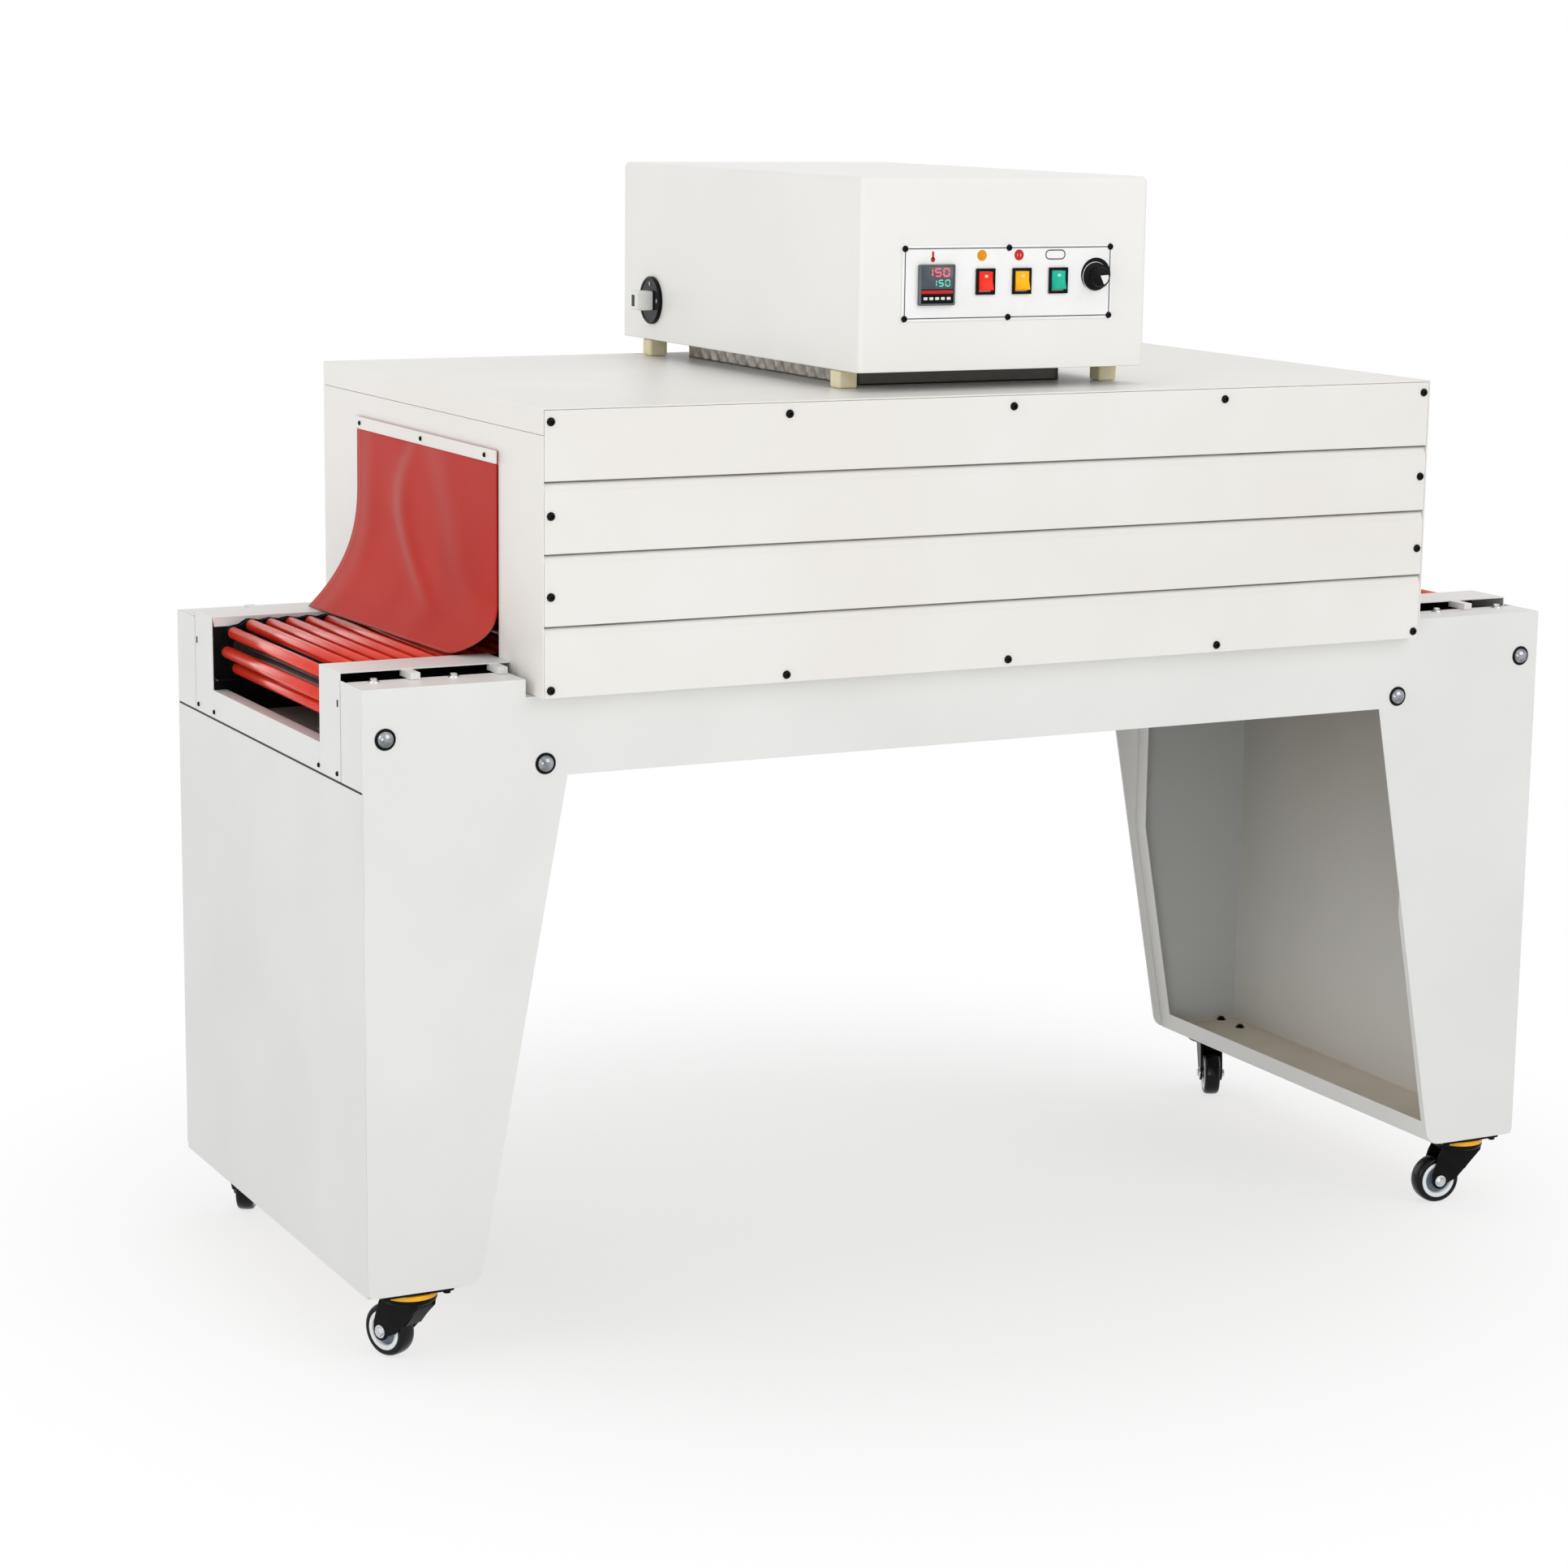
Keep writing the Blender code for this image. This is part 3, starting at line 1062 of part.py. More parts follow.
def caster(name, end, side, trail_deg):
    """One swivel caster: top plate with its boss, fork with its axle, and wheel."""
    centre = (end * CASTER_X, side * CASTER_Y, 0.0)
    plate_top = LEG_BOTTOM_Z - GAP
    plate_bottom = plate_top - CASTER_PLATE_THICKNESS
    plate_size = (CASTER_PLATE_LENGTH, CASTER_PLATE_WIDTH, CASTER_PLATE_THICKNESS)
    plate_name = f"caster_plate_{name}"
    plate_centre = (*centre[:2], (plate_top + plate_bottom) / 2)
    plate = piece(plate_name, box_mesh(plate_name, plate_size), BLACK_STEEL, plate_centre)
    race_top = plate_bottom - RACE_GAP
    race_bottom = race_top - RACE_HEIGHT
    crown_bottom = race_bottom - CROWN_THICKNESS
    boss = cylinder_mesh(plate_name + "_boss", BOSS_RADIUS, crown_bottom, plate_top - GAP, ROUND_STEPS)
    combine(plate, cutter(plate_name + "_boss", boss, centre), "UNION")
    swivel = empty(f"caster_swivel_{name}", centre, trail_deg)
    fork_name = f"caster_fork_{name}"
    crown = cylinder_mesh(fork_name, RACE_RADIUS, crown_bottom, race_top, ROUND_STEPS)
    fork = piece(fork_name, crown, BLACK_STEEL, parent=swivel)
    leg_inner = HUB_WIDTH / 2 + FORK_SIDE_CLEARANCE
    eye = (CASTER_TRAIL, WHEEL_RADIUS)
    top = crown_bottom + CROWN_THICKNESS / 2
    reach = RACE_RADIUS * FORK_WIDTH_SHARE
    outline = [(-reach, top), (-reach, crown_bottom)]
    outline += arc(eye, FORK_EYE_RADIUS, 210, 360, FORK_EYE_STEPS)
    outline += [(reach, crown_bottom), (reach, top)]
    for cheek in (-1, 1):
        inner = cheek * leg_inner
        outer = cheek * (leg_inner + FORK_PLATE)
        mesh = extruded_mesh(fork_name + "_cheek", outline, "Y", min(inner, outer), max(inner, outer))
        combine(fork, cutter(f"{fork_name}_cheek_{cheek}", mesh, parent=swivel), "UNION")
    half_axle = leg_inner + FORK_PLATE / 2
    axle_place = (CASTER_TRAIL, 0.0, WHEEL_RADIUS)
    axle_name = fork_name + "_axle"
    axle = cylinder_mesh(axle_name, AXLE_RADIUS, -half_axle, half_axle, ROUND_STEPS, "Y", axle_place)
    combine(fork, cutter(fork_name + "_axle", axle, parent=swivel), "UNION")
    ends = (crown_bottom - OVERRUN, race_top + OVERRUN)
    bore = cylinder_mesh(fork_name + "_bore", BOSS_RADIUS + BOSS_CLEARANCE, *ends, ROUND_STEPS)
    combine(fork, cutter(fork_name + "_bore", bore, parent=swivel), "DIFFERENCE")
    wheel_name = f"caster_wheel_{name}"
    half_tyre = WHEEL_WIDTH / 2
    bore_radius = AXLE_RADIUS + AXLE_CLEARANCE
    hub_radius = bore_radius + RIM_RECESS
    half_profile = [
        (bore_radius, HUB_WIDTH / 2),
        (hub_radius, HUB_WIDTH / 2),
        (hub_radius, half_tyre - RIM_RECESS),
        (RIM_RADIUS, half_tyre - RIM_RECESS),
        (RIM_RADIUS + TYRE_SHOULDER / 2, half_tyre),
        (WHEEL_RADIUS - TYRE_SHOULDER, half_tyre),
        (WHEEL_RADIUS, half_tyre - TYRE_SHOULDER),
    ]
    profile = half_profile + [(radius, -height) for radius, height in reversed(half_profile)]
    wheel_centre = (CASTER_TRAIL, 0.0, WHEEL_RADIUS)
    wheel = piece(wheel_name, turned_mesh(wheel_name, profile), BLACK_RUBBER, wheel_centre, swivel)
    wheel.rotation_euler.x = math.radians(90)
    turn(wheel, WHEEL_STEPS)


side_panel("side_panel_front", 0)
side_panel("side_panel_back", 180)
leg_box("leg_box_right", 0)
leg_box("leg_box_left", 180)
conveyor_deck()
end_lip("end_lip_right", 0)
end_lip("end_lip_left", 180)
chain_rail("chain_rail_front", 0)
chain_rail("chain_rail_back", 180)
bed_plate()
roller_loop()
end_axle("end_axle_left", -1)
end_axle("end_axle_right", 1)
for end_name, end_side in (("left", -1), ("right", 1)):
    for depth_name, depth_side in (("front", -1), ("back", 1)):
        chain_cover(f"chain_cover_{depth_name}_{end_name}", end_side, depth_side)
    end_frame(f"tunnel_end_{end_name}", end_side)
    curtain(f"curtain_{end_name}", end_side)
    curtain_clamp(f"curtain_clamp_{end_name}", end_side)
tunnel_panel("tunnel_panel_front", 0)
tunnel_panel("tunnel_panel_back", 180)
tunnel_lid()
chamber_liner()
fan_collar()
spacer_feet()
control_box()
control_plate()
isolator()
for depth_name, depth_side in (("front", -1), ("back", 1)):
    for end_name, end_side in (("left", -1), ("right", 1)):
        place_name = f"{depth_name}_{end_name}"
        caster(place_name, end_side, depth_side, CASTER_TRAIL_DEGREES[place_name])

middle = empty("machine_middle", (0.0, -BOX_OVERHANG / 2, 0.0))
for made in list(PARTS.objects) + list(CUTTERS.objects):
    if made.parent is None and made is not middle:
        made.parent = middle

for made in PARTS.objects:
    if made.type == "MESH":
        made.data.shade_smooth()
        made.data.set_sharp_from_angle(angle=math.radians(30))
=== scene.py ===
# %% [markdown]
# Shrink wrapping machine. A ribbed white tunnel on a legged base of folded sheet, with a chain of red
# rollers running through it, red curtains in its mouths and a control box on its roof. The packed
# machine is loaded first: every part of it is in metres, already in place, and stays there.

# %% Load the machine
import json
import math

import bmesh
import bpy
import numpy as np
from mathutils import Matrix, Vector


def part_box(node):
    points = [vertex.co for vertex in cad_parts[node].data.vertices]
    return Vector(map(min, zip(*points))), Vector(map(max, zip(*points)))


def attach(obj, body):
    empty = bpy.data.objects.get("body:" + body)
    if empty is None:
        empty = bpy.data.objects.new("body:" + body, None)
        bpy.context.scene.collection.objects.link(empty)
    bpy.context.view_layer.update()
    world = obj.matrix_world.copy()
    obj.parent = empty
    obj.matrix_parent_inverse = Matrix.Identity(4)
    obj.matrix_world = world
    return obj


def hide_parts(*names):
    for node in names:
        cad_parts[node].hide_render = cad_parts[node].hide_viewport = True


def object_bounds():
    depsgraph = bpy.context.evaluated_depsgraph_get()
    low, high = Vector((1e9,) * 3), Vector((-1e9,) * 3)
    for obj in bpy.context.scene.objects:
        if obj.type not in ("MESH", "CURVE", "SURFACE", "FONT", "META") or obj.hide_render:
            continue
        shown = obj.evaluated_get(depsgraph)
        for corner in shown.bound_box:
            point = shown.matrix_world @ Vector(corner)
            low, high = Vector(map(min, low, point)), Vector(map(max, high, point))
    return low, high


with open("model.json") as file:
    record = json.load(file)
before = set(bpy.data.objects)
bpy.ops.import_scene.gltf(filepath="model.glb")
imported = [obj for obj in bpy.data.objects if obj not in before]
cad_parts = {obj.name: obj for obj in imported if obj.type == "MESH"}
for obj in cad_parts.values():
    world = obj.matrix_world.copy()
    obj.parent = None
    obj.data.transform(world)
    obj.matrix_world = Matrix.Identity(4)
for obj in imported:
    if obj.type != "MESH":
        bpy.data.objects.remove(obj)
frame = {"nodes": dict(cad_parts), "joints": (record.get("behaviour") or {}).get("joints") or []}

CAD_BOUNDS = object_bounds()
NODES = frame["nodes"]
JOINTS = {joint["name"]: joint for joint in frame["joints"]}
print("machine box", [round(side, 4) for corner in CAD_BOUNDS for side in corner])

# %% [markdown]
# Colours are written as sRGB hex values, as a paint maker gives them, and shaders want linear light,
# so one function turns one into the other. One more function adds any shader node, with its settings
# and what goes into it, which keeps each material short enough to read in one go.

# %% Colours and nodes
def linear(code):
    """sRGB hex to linear red, green, blue, alpha: c / 12.92 in the toe, else ((c + 0.055) / 1.055) ** 2.4."""
    steps = np.array([int(code[place:place + 2], 16) for place in (0, 2, 4)]) / 255
    light = np.where(steps <= 0.04045, steps / 12.92, ((steps + 0.055) / 1.055) ** 2.4)
    return (*light.tolist(), 1.0)


def add_node(tree, kind, inputs=None, **settings):
    """Adds a node. settings are its own properties, and inputs gives each socket a value or a link."""
    node = tree.nodes.new(kind)
    for name, value in settings.items():
        setattr(node, name, value)
    for key, value in (inputs or {}).items():
        if isinstance(value, bpy.types.NodeSocket):
            tree.links.new(value, node.inputs[key])
        else:
            node.inputs[key].default_value = value
    return node


def new_finish(name, **values):
    """A material with one Principled shader, and its uniform values set on the shader's own sockets."""
    made = bpy.data.materials.new(name)
    made.use_nodes = True
    made.node_tree.nodes.clear()
    shader = add_node(made.node_tree, "ShaderNodeBsdfPrincipled", {
        key.replace("_", " "): value for key, value in values.items()
    })
    add_node(made.node_tree, "ShaderNodeOutputMaterial", {"Surface": shader.outputs[0]})
    return made, made.node_tree, shader


def two_tone(tree, factor, low, high, start=0.35, end=0.65):
    """A colour that goes from low to high as factor goes from start to end."""
    ramp = add_node(tree, "ShaderNodeValToRGB", {"Fac": factor})
    for element, place, code in zip(ramp.color_ramp.elements, (start, end), (low, high)):
        element.position = place
        element.color = linear(code)
    return ramp.outputs["Color"]


def spots(tree, millimetres, detail=3.0, stretch=(1.0, 1.0, 1.0)):
    """Noise whose blotches are about this many millimetres across, on the piece's own coordinates."""
    place = add_node(tree, "ShaderNodeTexCoord").outputs["Object"]
    turned = add_node(tree, "ShaderNodeMapping", {"Vector": place, "Scale": stretch})
    noise = add_node(tree, "ShaderNodeTexNoise", {
        "Vector": turned.outputs["Vector"], "Scale": 1000 / millimetres / 2, "Detail": detail,
    })
    return noise.outputs["Fac"]


def bumped(tree, shader, heights):
    """Chains bumps, each (height socket, depth in metres, strength), into the shader's normal."""
    normal = None
    for height, depth, strength in heights:
        inputs = {"Height": height, "Distance": depth, "Strength": strength}
        if normal is not None:
            inputs["Normal"] = normal
        normal = add_node(tree, "ShaderNodeBump", inputs).outputs["Normal"]
    tree.links.new(normal, shader.inputs["Normal"])


# %% [markdown]
# The white body is mild steel sheet, folded and powder coated. The coat is sprayed dry and baked, which
# leaves an even off-white with a fine orange peel and a soft gloss. Sheet this thin is never quite
# flat, so a second, very wide bump bends its reflections a little.

# %% White powder coat
def powder_coat(name, low, high, rough):
    """Powder coat: peel cells of 2 mm, drawn at 4 mm so that they show, and waves of 160 mm."""
    made, tree, shader = new_finish(name, Roughness=rough, Specular_IOR_Level=0.28)
    tone = spots(tree, 120, detail=2.0)
    tree.links.new(two_tone(tree, tone, low, high), shader.inputs["Base Color"])
    bumped(tree, shader, [(spots(tree, 4), 0.00006, 0.35), (spots(tree, 160, 0.0), 0.0012, 0.3)])
    return made


TUNNEL_COAT = powder_coat("warm_white_powder_coat_on_tunnel", "EEEBE6", "F1EFEB", 0.36)
BASE_COAT = powder_coat("white_powder_coat_on_base", "E6E6E4", "EBEBE9", 0.36)
BOX_COAT = powder_coat("warm_white_powder_coat_on_box", "F1EFEB", "F4F3F0", 0.4)
print("white coats:", TUNNEL_COAT.name, BASE_COAT.name, BOX_COAT.name)

# %% [markdown]
# Inside the legs the sheet is the same white coat, and the shade that falls there is painted into its
# colour: taupe on the end wall and paler towards the bottom, cool grey on the inner sides, and brownish
# on the floor, while the folded lips are white again. A leg box is one piece, so the painted shade is
# chosen by place and by which way a face looks.

# %% Leg box, white outside, with painted shade inside
HALF_LENGTH = CAD_BOUNDS[1].x
LEG_LOW, LEG_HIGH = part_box("leg_box_left")
LEG_HALF_DEPTH = (LEG_HIGH.y - LEG_LOW.y) / 2
LEG_MIDDLE_Y = (LEG_HIGH.y + LEG_LOW.y) / 2
SKIN, NEAR_WALL, LIP_REACH = 0.001, 0.004, 0.008


def leg_coat():
    """One tone a region: |x| near the end, |y| near the sides, z near the floor, lips by their normal.

    A wall's painted shade goes with its height, less or more by a blotch, and each later region lies over
    the ones before it. All inner tones are painted shade, while the outside and the lips are plain white.
    """
    made, tree, shader = new_finish("leg_sheet_with_painted_inner_shade", Roughness=0.45)
    place = add_node(tree, "ShaderNodeTexCoord").outputs["Object"]
    axes = add_node(tree, "ShaderNodeSeparateXYZ", {"Vector": place}).outputs
    facing = add_node(tree, "ShaderNodeNewGeometry").outputs["Normal"]
    looks = add_node(tree, "ShaderNodeSeparateXYZ", {"Vector": facing}).outputs
    height = add_node(tree, "ShaderNodeMapRange", {"Value": axes["Z"], 1: 0.12, 2: 0.72}).outputs["Result"]
    steps = {"height": height, "spots": spots(tree, 110)}
    for result, operation, *values in (
        ("far", "ABSOLUTE", axes["X"]),
        ("off_middle", "SUBTRACT", axes["Y"], LEG_MIDDLE_Y),
        ("beside", "ABSOLUTE", "off_middle"),
        ("outside", "GREATER_THAN", "far", HALF_LENGTH - SKIN),
        ("at_side", "GREATER_THAN", "beside", LEG_HALF_DEPTH - NEAR_WALL),
        ("at_floor", "LESS_THAN", axes["Z"], LEG_LOW.z + NEAR_WALL),
        ("turn_to_end", "ABSOLUTE", looks["X"]),
        ("faces_end", "GREATER_THAN", "turn_to_end", 0.5),
        ("set_back", "LESS_THAN", "far", HALF_LENGTH - LIP_REACH),
        ("lip", "MULTIPLY", "faces_end", "set_back"),
        ("blotch", "MULTIPLY_ADD", "spots", 0.16, -0.08),
        ("rise", "ADD", "height", "blotch"),
    ):
        sockets = {spot: steps[value] if isinstance(value, str) else value
                   for spot, value in enumerate(values)}
        steps[result] = add_node(tree, "ShaderNodeMath", sockets, operation=operation).outputs[0]
    # Painted shade: the end wall is pale low down and taupe higher up, the sides cool grey, the floor
    # brownish
    tone = two_tone(tree, steps["rise"], "E0DED9", "96928A", 0.0, 1.0)
    white = two_tone(tree, spots(tree, 120, 2.0), "E4E4E2", "E9E9E7")
    for region, cover in (
        ("at_side", two_tone(tree, steps["rise"], "CDD0D0", "AFB2B1", 0.0, 1.0)),
        ("at_floor", two_tone(tree, spots(tree, 60), "DDD2C2", "E6DCCD")),
        ("lip", white),
        ("outside", white),
    ):
        tone = add_node(tree, "ShaderNodeMix", {"Factor": steps[region], 6: tone, 7: cover},
                        data_type="RGBA").outputs[2]
    tree.links.new(tone, shader.inputs["Base Color"])
    bumped(tree, shader, [(spots(tree, 4), 0.00006, 0.35), (spots(tree, 160, 0.0), 0.0012, 0.3)])
    return made


LEG_COAT = leg_coat()
print("leg finish:", LEG_COAT.name)

# %% [markdown]
# The small finishes follow the same pattern. Moulded plastics have a faint spark texture, blackened
# steel a satin oxide, chrome a fine ripple, and the chamber lining is a matt dark board. Each starts
# from usual values for its material. The blacks reflect less, because all round them is white.

# %% Plain finishes
def mottled(name, low, high, grain, peel, **values):
    """A finish with tones in blotches of grain millimetres and a bump of peel millimetres."""
    made, tree, shader = new_finish(name, **values)
    tree.links.new(two_tone(tree, spots(tree, grain), low, high), shader.inputs["Base Color"])
    bumped(tree, shader, [(spots(tree, peel), 0.00008, 0.4)])
    return made


BLACK_OXIDE = mottled("blackened_steel", "0D0D0F", "161517", 14, 2, Roughness=0.34, Specular_IOR_Level=0.07)
TRAY_PAINT = mottled("dark_grey_stove_enamel", "2E2B2A", "4A4440", 60, 5, Roughness=0.22)
# The conveyor tray is the dark enamel, lightened to brown-grey as a painted reflection where it lies in shade
# under the rollers
TRAY_PAINTED_REFLECTION = mottled("tray_sheet_with_painted_reflection", "A8A096", "C2BAAF", 70, 5, Roughness=0.18)
DARK_BEZEL = mottled("dark_grey_bezel_plastic", "4A4D51", "5C5F63", 8, 1, Roughness=0.32)
STEEL = mottled("bright_plated_steel", "C4C6C8", "D8DADC", 6, 1.5, Roughness=0.22, Metallic=1.0)
TYRE_RUBBER = mottled("black_tyre_rubber", "08080A", "101012", 8, 1.5, Roughness=0.18, Specular_IOR_Level=0.2)
BLACK_PLASTIC = mottled("black_moulded_plastic", "0A0B0D", "121316", 10, 1, Roughness=0.34,
                        Specular_IOR_Level=0.09)
WHITE_PLASTIC = mottled("white_moulded_plastic", "E6E7E4", "EFEFEC", 20, 1.5, Roughness=0.35)
PLATE_PLASTIC = mottled("white_laminate_panel", "F5F5F4", "FAFAFA", 20, 1.5, Roughness=0.3)
DOME_STEEL = mottled("chrome_plated_dome", "74787D", "A8ACB0", 5, 1.5, Roughness=0.16, Metallic=1.0)
HUB_PLASTIC = mottled("pale_blue_white_nylon", "EEF3F7", "F7FAFB", 9, 1.5, Roughness=0.32)
HUB_GREY = mottled("blue_grey_hub_nylon", "5C6876", "7C8A9A", 9, 1.5, Roughness=0.4)
AMBER_RING = mottled("orange_yellow_dust_cap", "F5A800", "FFBC0A", 9, 1.5, Roughness=0.35)
CREAM_NYLON = mottled("cream_cast_nylon", "E4D9AE", "EEE6C6", 12, 2, Roughness=0.45,
                      Subsurface_Weight=0.1, Subsurface_Scale=0.004)
LINING = mottled("dark_heat_board", "17130F", "221D19", 30, 3, Roughness=0.75)
DISPLAY = mottled("smoked_display_window", "39414B", "4A525C", 10, 3, Roughness=0.12)
PRINT_GREY = mottled("dark_grey_screen_print", "33353A", "44464B", 6, 1, Roughness=0.5)
PRINT_RED = mottled("red_screen_print", "C02024", "CE2C2C", 6, 1, Roughness=0.45, Specular_IOR_Level=0.2)
PRINT_AMBER = mottled("amber_screen_print", "E4930C", "EA9E1C", 6, 1, Roughness=0.45, Specular_IOR_Level=0.2)
# Painted shade: the dark strip under each panel groove's ledge
GROOVE_PAINTED_SHADE = mottled("painted_shade_line_in_panel_groove", "5E5A54", "77726A", 20, 2, Roughness=0.7)
PALE_MARK = mottled("pale_grey_print", "C9CDD2", "D8DBDE", 6, 1, Roughness=0.45)
print("plain finishes:", len(bpy.data.materials))

# %% [markdown]
# The rollers wear extruded silicone tube: strong red, glossy and slightly see-through at its skin. Fine
# lines run along it from the die. The rocker buttons are clear coloured plastic lit from behind, and
# the digits glow by themselves.

# %% Red sleeve, lens plastics and lit segments
def sleeve():
    """Extruded silicone: die lines 1.5 mm apart, ten times as long, under a soft gloss."""
    made, tree, shader = new_finish("red_silicone_tube", Roughness=0.2, Specular_IOR_Level=0.32)
    lines = spots(tree, 3, 2.0, (1.0, 0.1, 1.0))
    tree.links.new(two_tone(tree, spots(tree, 40), "E22E18", "F04028"), shader.inputs["Base Color"])
    bumped(tree, shader, [(lines, 0.0001, 0.35)])
    return made


def lens(name, low, high):
    """Coloured switch plastic with a little light of its own colour from the lamp behind it."""
    made, tree, shader = new_finish(name, Roughness=0.25, Specular_IOR_Level=0.12, Emission_Strength=0.3)
    tone = two_tone(tree, spots(tree, 12), low, high)
    tree.links.new(tone, shader.inputs["Base Color"])
    tree.links.new(tone, shader.inputs["Emission Color"])
    bumped(tree, shader, [(spots(tree, 2), 0.00005, 0.3)])
    return made


def lit(name, low, high):
    """A glowing segment: mostly light, hardly any surface."""
    made, tree, shader = new_finish(name, Roughness=0.3, Emission_Strength=0.9)
    tone = two_tone(tree, spots(tree, 4), low, high)
    tree.links.new(tone, shader.inputs["Base Color"])
    tree.links.new(tone, shader.inputs["Emission Color"])
    return made


RED_TUBE = sleeve()
LENSES = {
    "red": lens("red_lens_plastic", "DC2415", "E8341F"),
    "amber": lens("amber_lens_plastic", "F09A00", "FAB00C"),
    "green": lens("green_lens_plastic", "0E9C80", "1DB396"),
}
RED_DIGITS = lit("red_lit_segments", "F0485A", "FF6070")
GREEN_DIGITS = lit("green_lit_segments", "4FB89C", "62C8AC")

# %% [markdown]
# New pieces are worked out as numpy arrays. A shape here is its points and its faces, where each block
# of faces has the same number of corners. A grid joins rows of points with quads, a turned shape
# carries a profile round an axis, a slab gives a flat outline its thickness, and copies sets one shape
# at many places at once. Only at the end does an array become a mesh.

# %% Shapes as arrays
def grid_quads(rows, columns, wrap=False):
    """Quads of a grid of points, row after row; wrap joins the last column to the first."""
    down = np.arange(rows - 1)[:, None] * columns
    across = np.arange(columns if wrap else columns - 1)[None, :]
    after = (across + 1) % columns
    corners = (down + across, down + after, down + columns + after, down + columns + across)
    return np.stack(corners, axis=-1).reshape(-1, 4)


def turned(profile, steps=24):
    """Surface of revolution about Z: (r cos a, r sin a, h) for each (r, h) of the profile."""
    radius, height = np.asarray(profile, float).T[:, :, None]
    angle = 2 * np.pi * np.arange(steps) / steps
    points = np.stack([radius * np.cos(angle), radius * np.sin(angle), height + 0 * angle], axis=-1)
    return points.reshape(-1, 3), [grid_quads(len(points), steps, wrap=True)]


def slab(outline, low, high):
    """A flat outline in X and Y made solid from Z low to Z high: a wall of quads and two lids."""
    flat = np.asarray(outline, float)
    count = len(flat)
    points = np.vstack([np.column_stack([flat, np.full(count, z)]) for z in (low, high)])
    lids = np.array([np.arange(count)[::-1], np.arange(count) + count])
    return points, [grid_quads(2, count, wrap=True), lids]


def rounded_rectangle(width, height, radius, steps=5):
    """Outline of width by height, whose corners are quarter circles: corner centre + r (cos a, sin a)."""
    quarter = np.arange(4)[:, None]
    angle = (quarter + np.linspace(0, 1, steps + 1)) * np.pi / 2
    centre_x = (width / 2 - radius) * np.array([1, -1, -1, 1])[:, None]
    centre_y = (height / 2 - radius) * np.array([1, 1, -1, -1])[:, None]
    x = centre_x + radius * np.cos(angle)
    y = centre_y + radius * np.sin(angle)
    return np.stack([x, y], axis=-1).reshape(-1, 2)


def soft_slab(width, height, thickness, corner, edge, steps=5, rings=3):
    """A moulded block on Z 0: its outline shrinks by e (1 - cos t) as it rises by e sin t to the top."""
    turn_angle = np.linspace(0, np.pi / 2, rings + 1)
    inset = np.concatenate([[0.0], edge * (1 - np.cos(turn_angle))])
    level = np.concatenate([[0.0], thickness - edge + edge * np.sin(turn_angle)])
    outlines = [
        rounded_rectangle(width - 2 * gone, height - 2 * gone, max(corner - gone, corner * 0.2), steps)
        for gone in inset
    ]
    count = len(outlines[0])
    points = np.vstack([np.column_stack([flat, np.full(count, z)]) for flat, z in zip(outlines, level)])
    top = np.arange(count) + (len(level) - 1) * count
    return points, [grid_quads(len(level), count, wrap=True), np.arange(count)[None, ::-1], top[None, :]]


def copies(shape, places, turns=None):
    """One shape at many places: place + turn @ point, for all places and points at once."""
    points, blocks = shape
    places = np.atleast_2d(np.asarray(places, float))
    turns = np.eye(3) if turns is None else np.asarray(turns, float)
    turns = np.broadcast_to(turns, (len(places), 3, 3))
    moved = np.einsum("kij,nj->kni", turns, points) + places[:, None, :]
    shift = len(points) * np.arange(len(places))[:, None, None]
    return moved.reshape(-1, 3), [(block[None] + shift).reshape(-1, block.shape[1]) for block in blocks]


def joined(*shapes):
    """Several shapes as one, whose faces count on from the points before them."""
    starts = np.cumsum([0] + [len(points) for points, _ in shapes])
    blocks = [block + start for (_, group), start in zip(shapes, starts) for block in group]
    return np.vstack([points for points, _ in shapes]), blocks


# Turns that stand a shape up: its Z, outward, points to the front, back, left or right of the machine
TO_FRONT = np.array([[1, 0, 0], [0, 0, -1], [0, 1, 0]])
TO_BACK = np.array([[-1, 0, 0], [0, 0, 1], [0, 1, 0]])
TO_LEFT = np.array([[0, 0, -1], [-1, 0, 0], [0, 1, 0]])
TO_RIGHT = np.array([[0, 0, 1], [1, 0, 0], [0, 1, 0]])
TO_DOWN = np.diag([1, -1, -1])


def make_piece(name, shape, finish, body="machine", stands_for=(), sharp=35, edge=0.0):
    """Turns a shape into a mesh object at the origin that rides on a body.

    Doubled points at poles and seams are merged, faces are turned outward, and edges sharper than
    the angle stay crisp, or are rounded by a bevel of the given width.
    """
    points, blocks = shape
    mesh = bpy.data.meshes.new(name)
    mesh.from_pydata(points.tolist(), [], [face for block in blocks for face in block.tolist()])
    work = bmesh.new()
    work.from_mesh(mesh)
    bmesh.ops.remove_doubles(work, verts=work.verts, dist=0.000002)
    bmesh.ops.recalc_face_normals(work, faces=work.faces)
    work.to_mesh(mesh)
    work.free()
    mesh.shade_smooth()
    mesh.set_sharp_from_angle(angle=math.radians(sharp))
    mesh.materials.append(finish)
    made = bpy.data.objects.new(name, mesh)
    bpy.context.scene.collection.objects.link(made)
    if edge:
        round_edges(made, edge)
    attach(made, body)
    if stands_for:
        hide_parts(*stands_for)
    return made


def round_edges(made, width, segments=2):
    """Rounds the edges of a finished piece and keeps its flat faces flat."""
    bevel = made.modifiers.new("rounded_edges", "BEVEL")
    bevel.width = width
    bevel.segments = segments
    bevel.limit_method = "ANGLE"
    bevel.angle_limit = math.radians(35)
    bevel.use_clamp_overlap = True
    weight = made.modifiers.new("flat_faces", "WEIGHTED_NORMAL")
    weight.weight = 60


# %% [markdown]
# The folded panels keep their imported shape. Each was bent on a press and painted after, so its folds
# are rounded by about a millimetre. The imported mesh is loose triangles, so it is welded, its flat
# faces are joined again, and only then is it bevelled. All of that is done by modifiers, because the
# packed points themselves must not change.

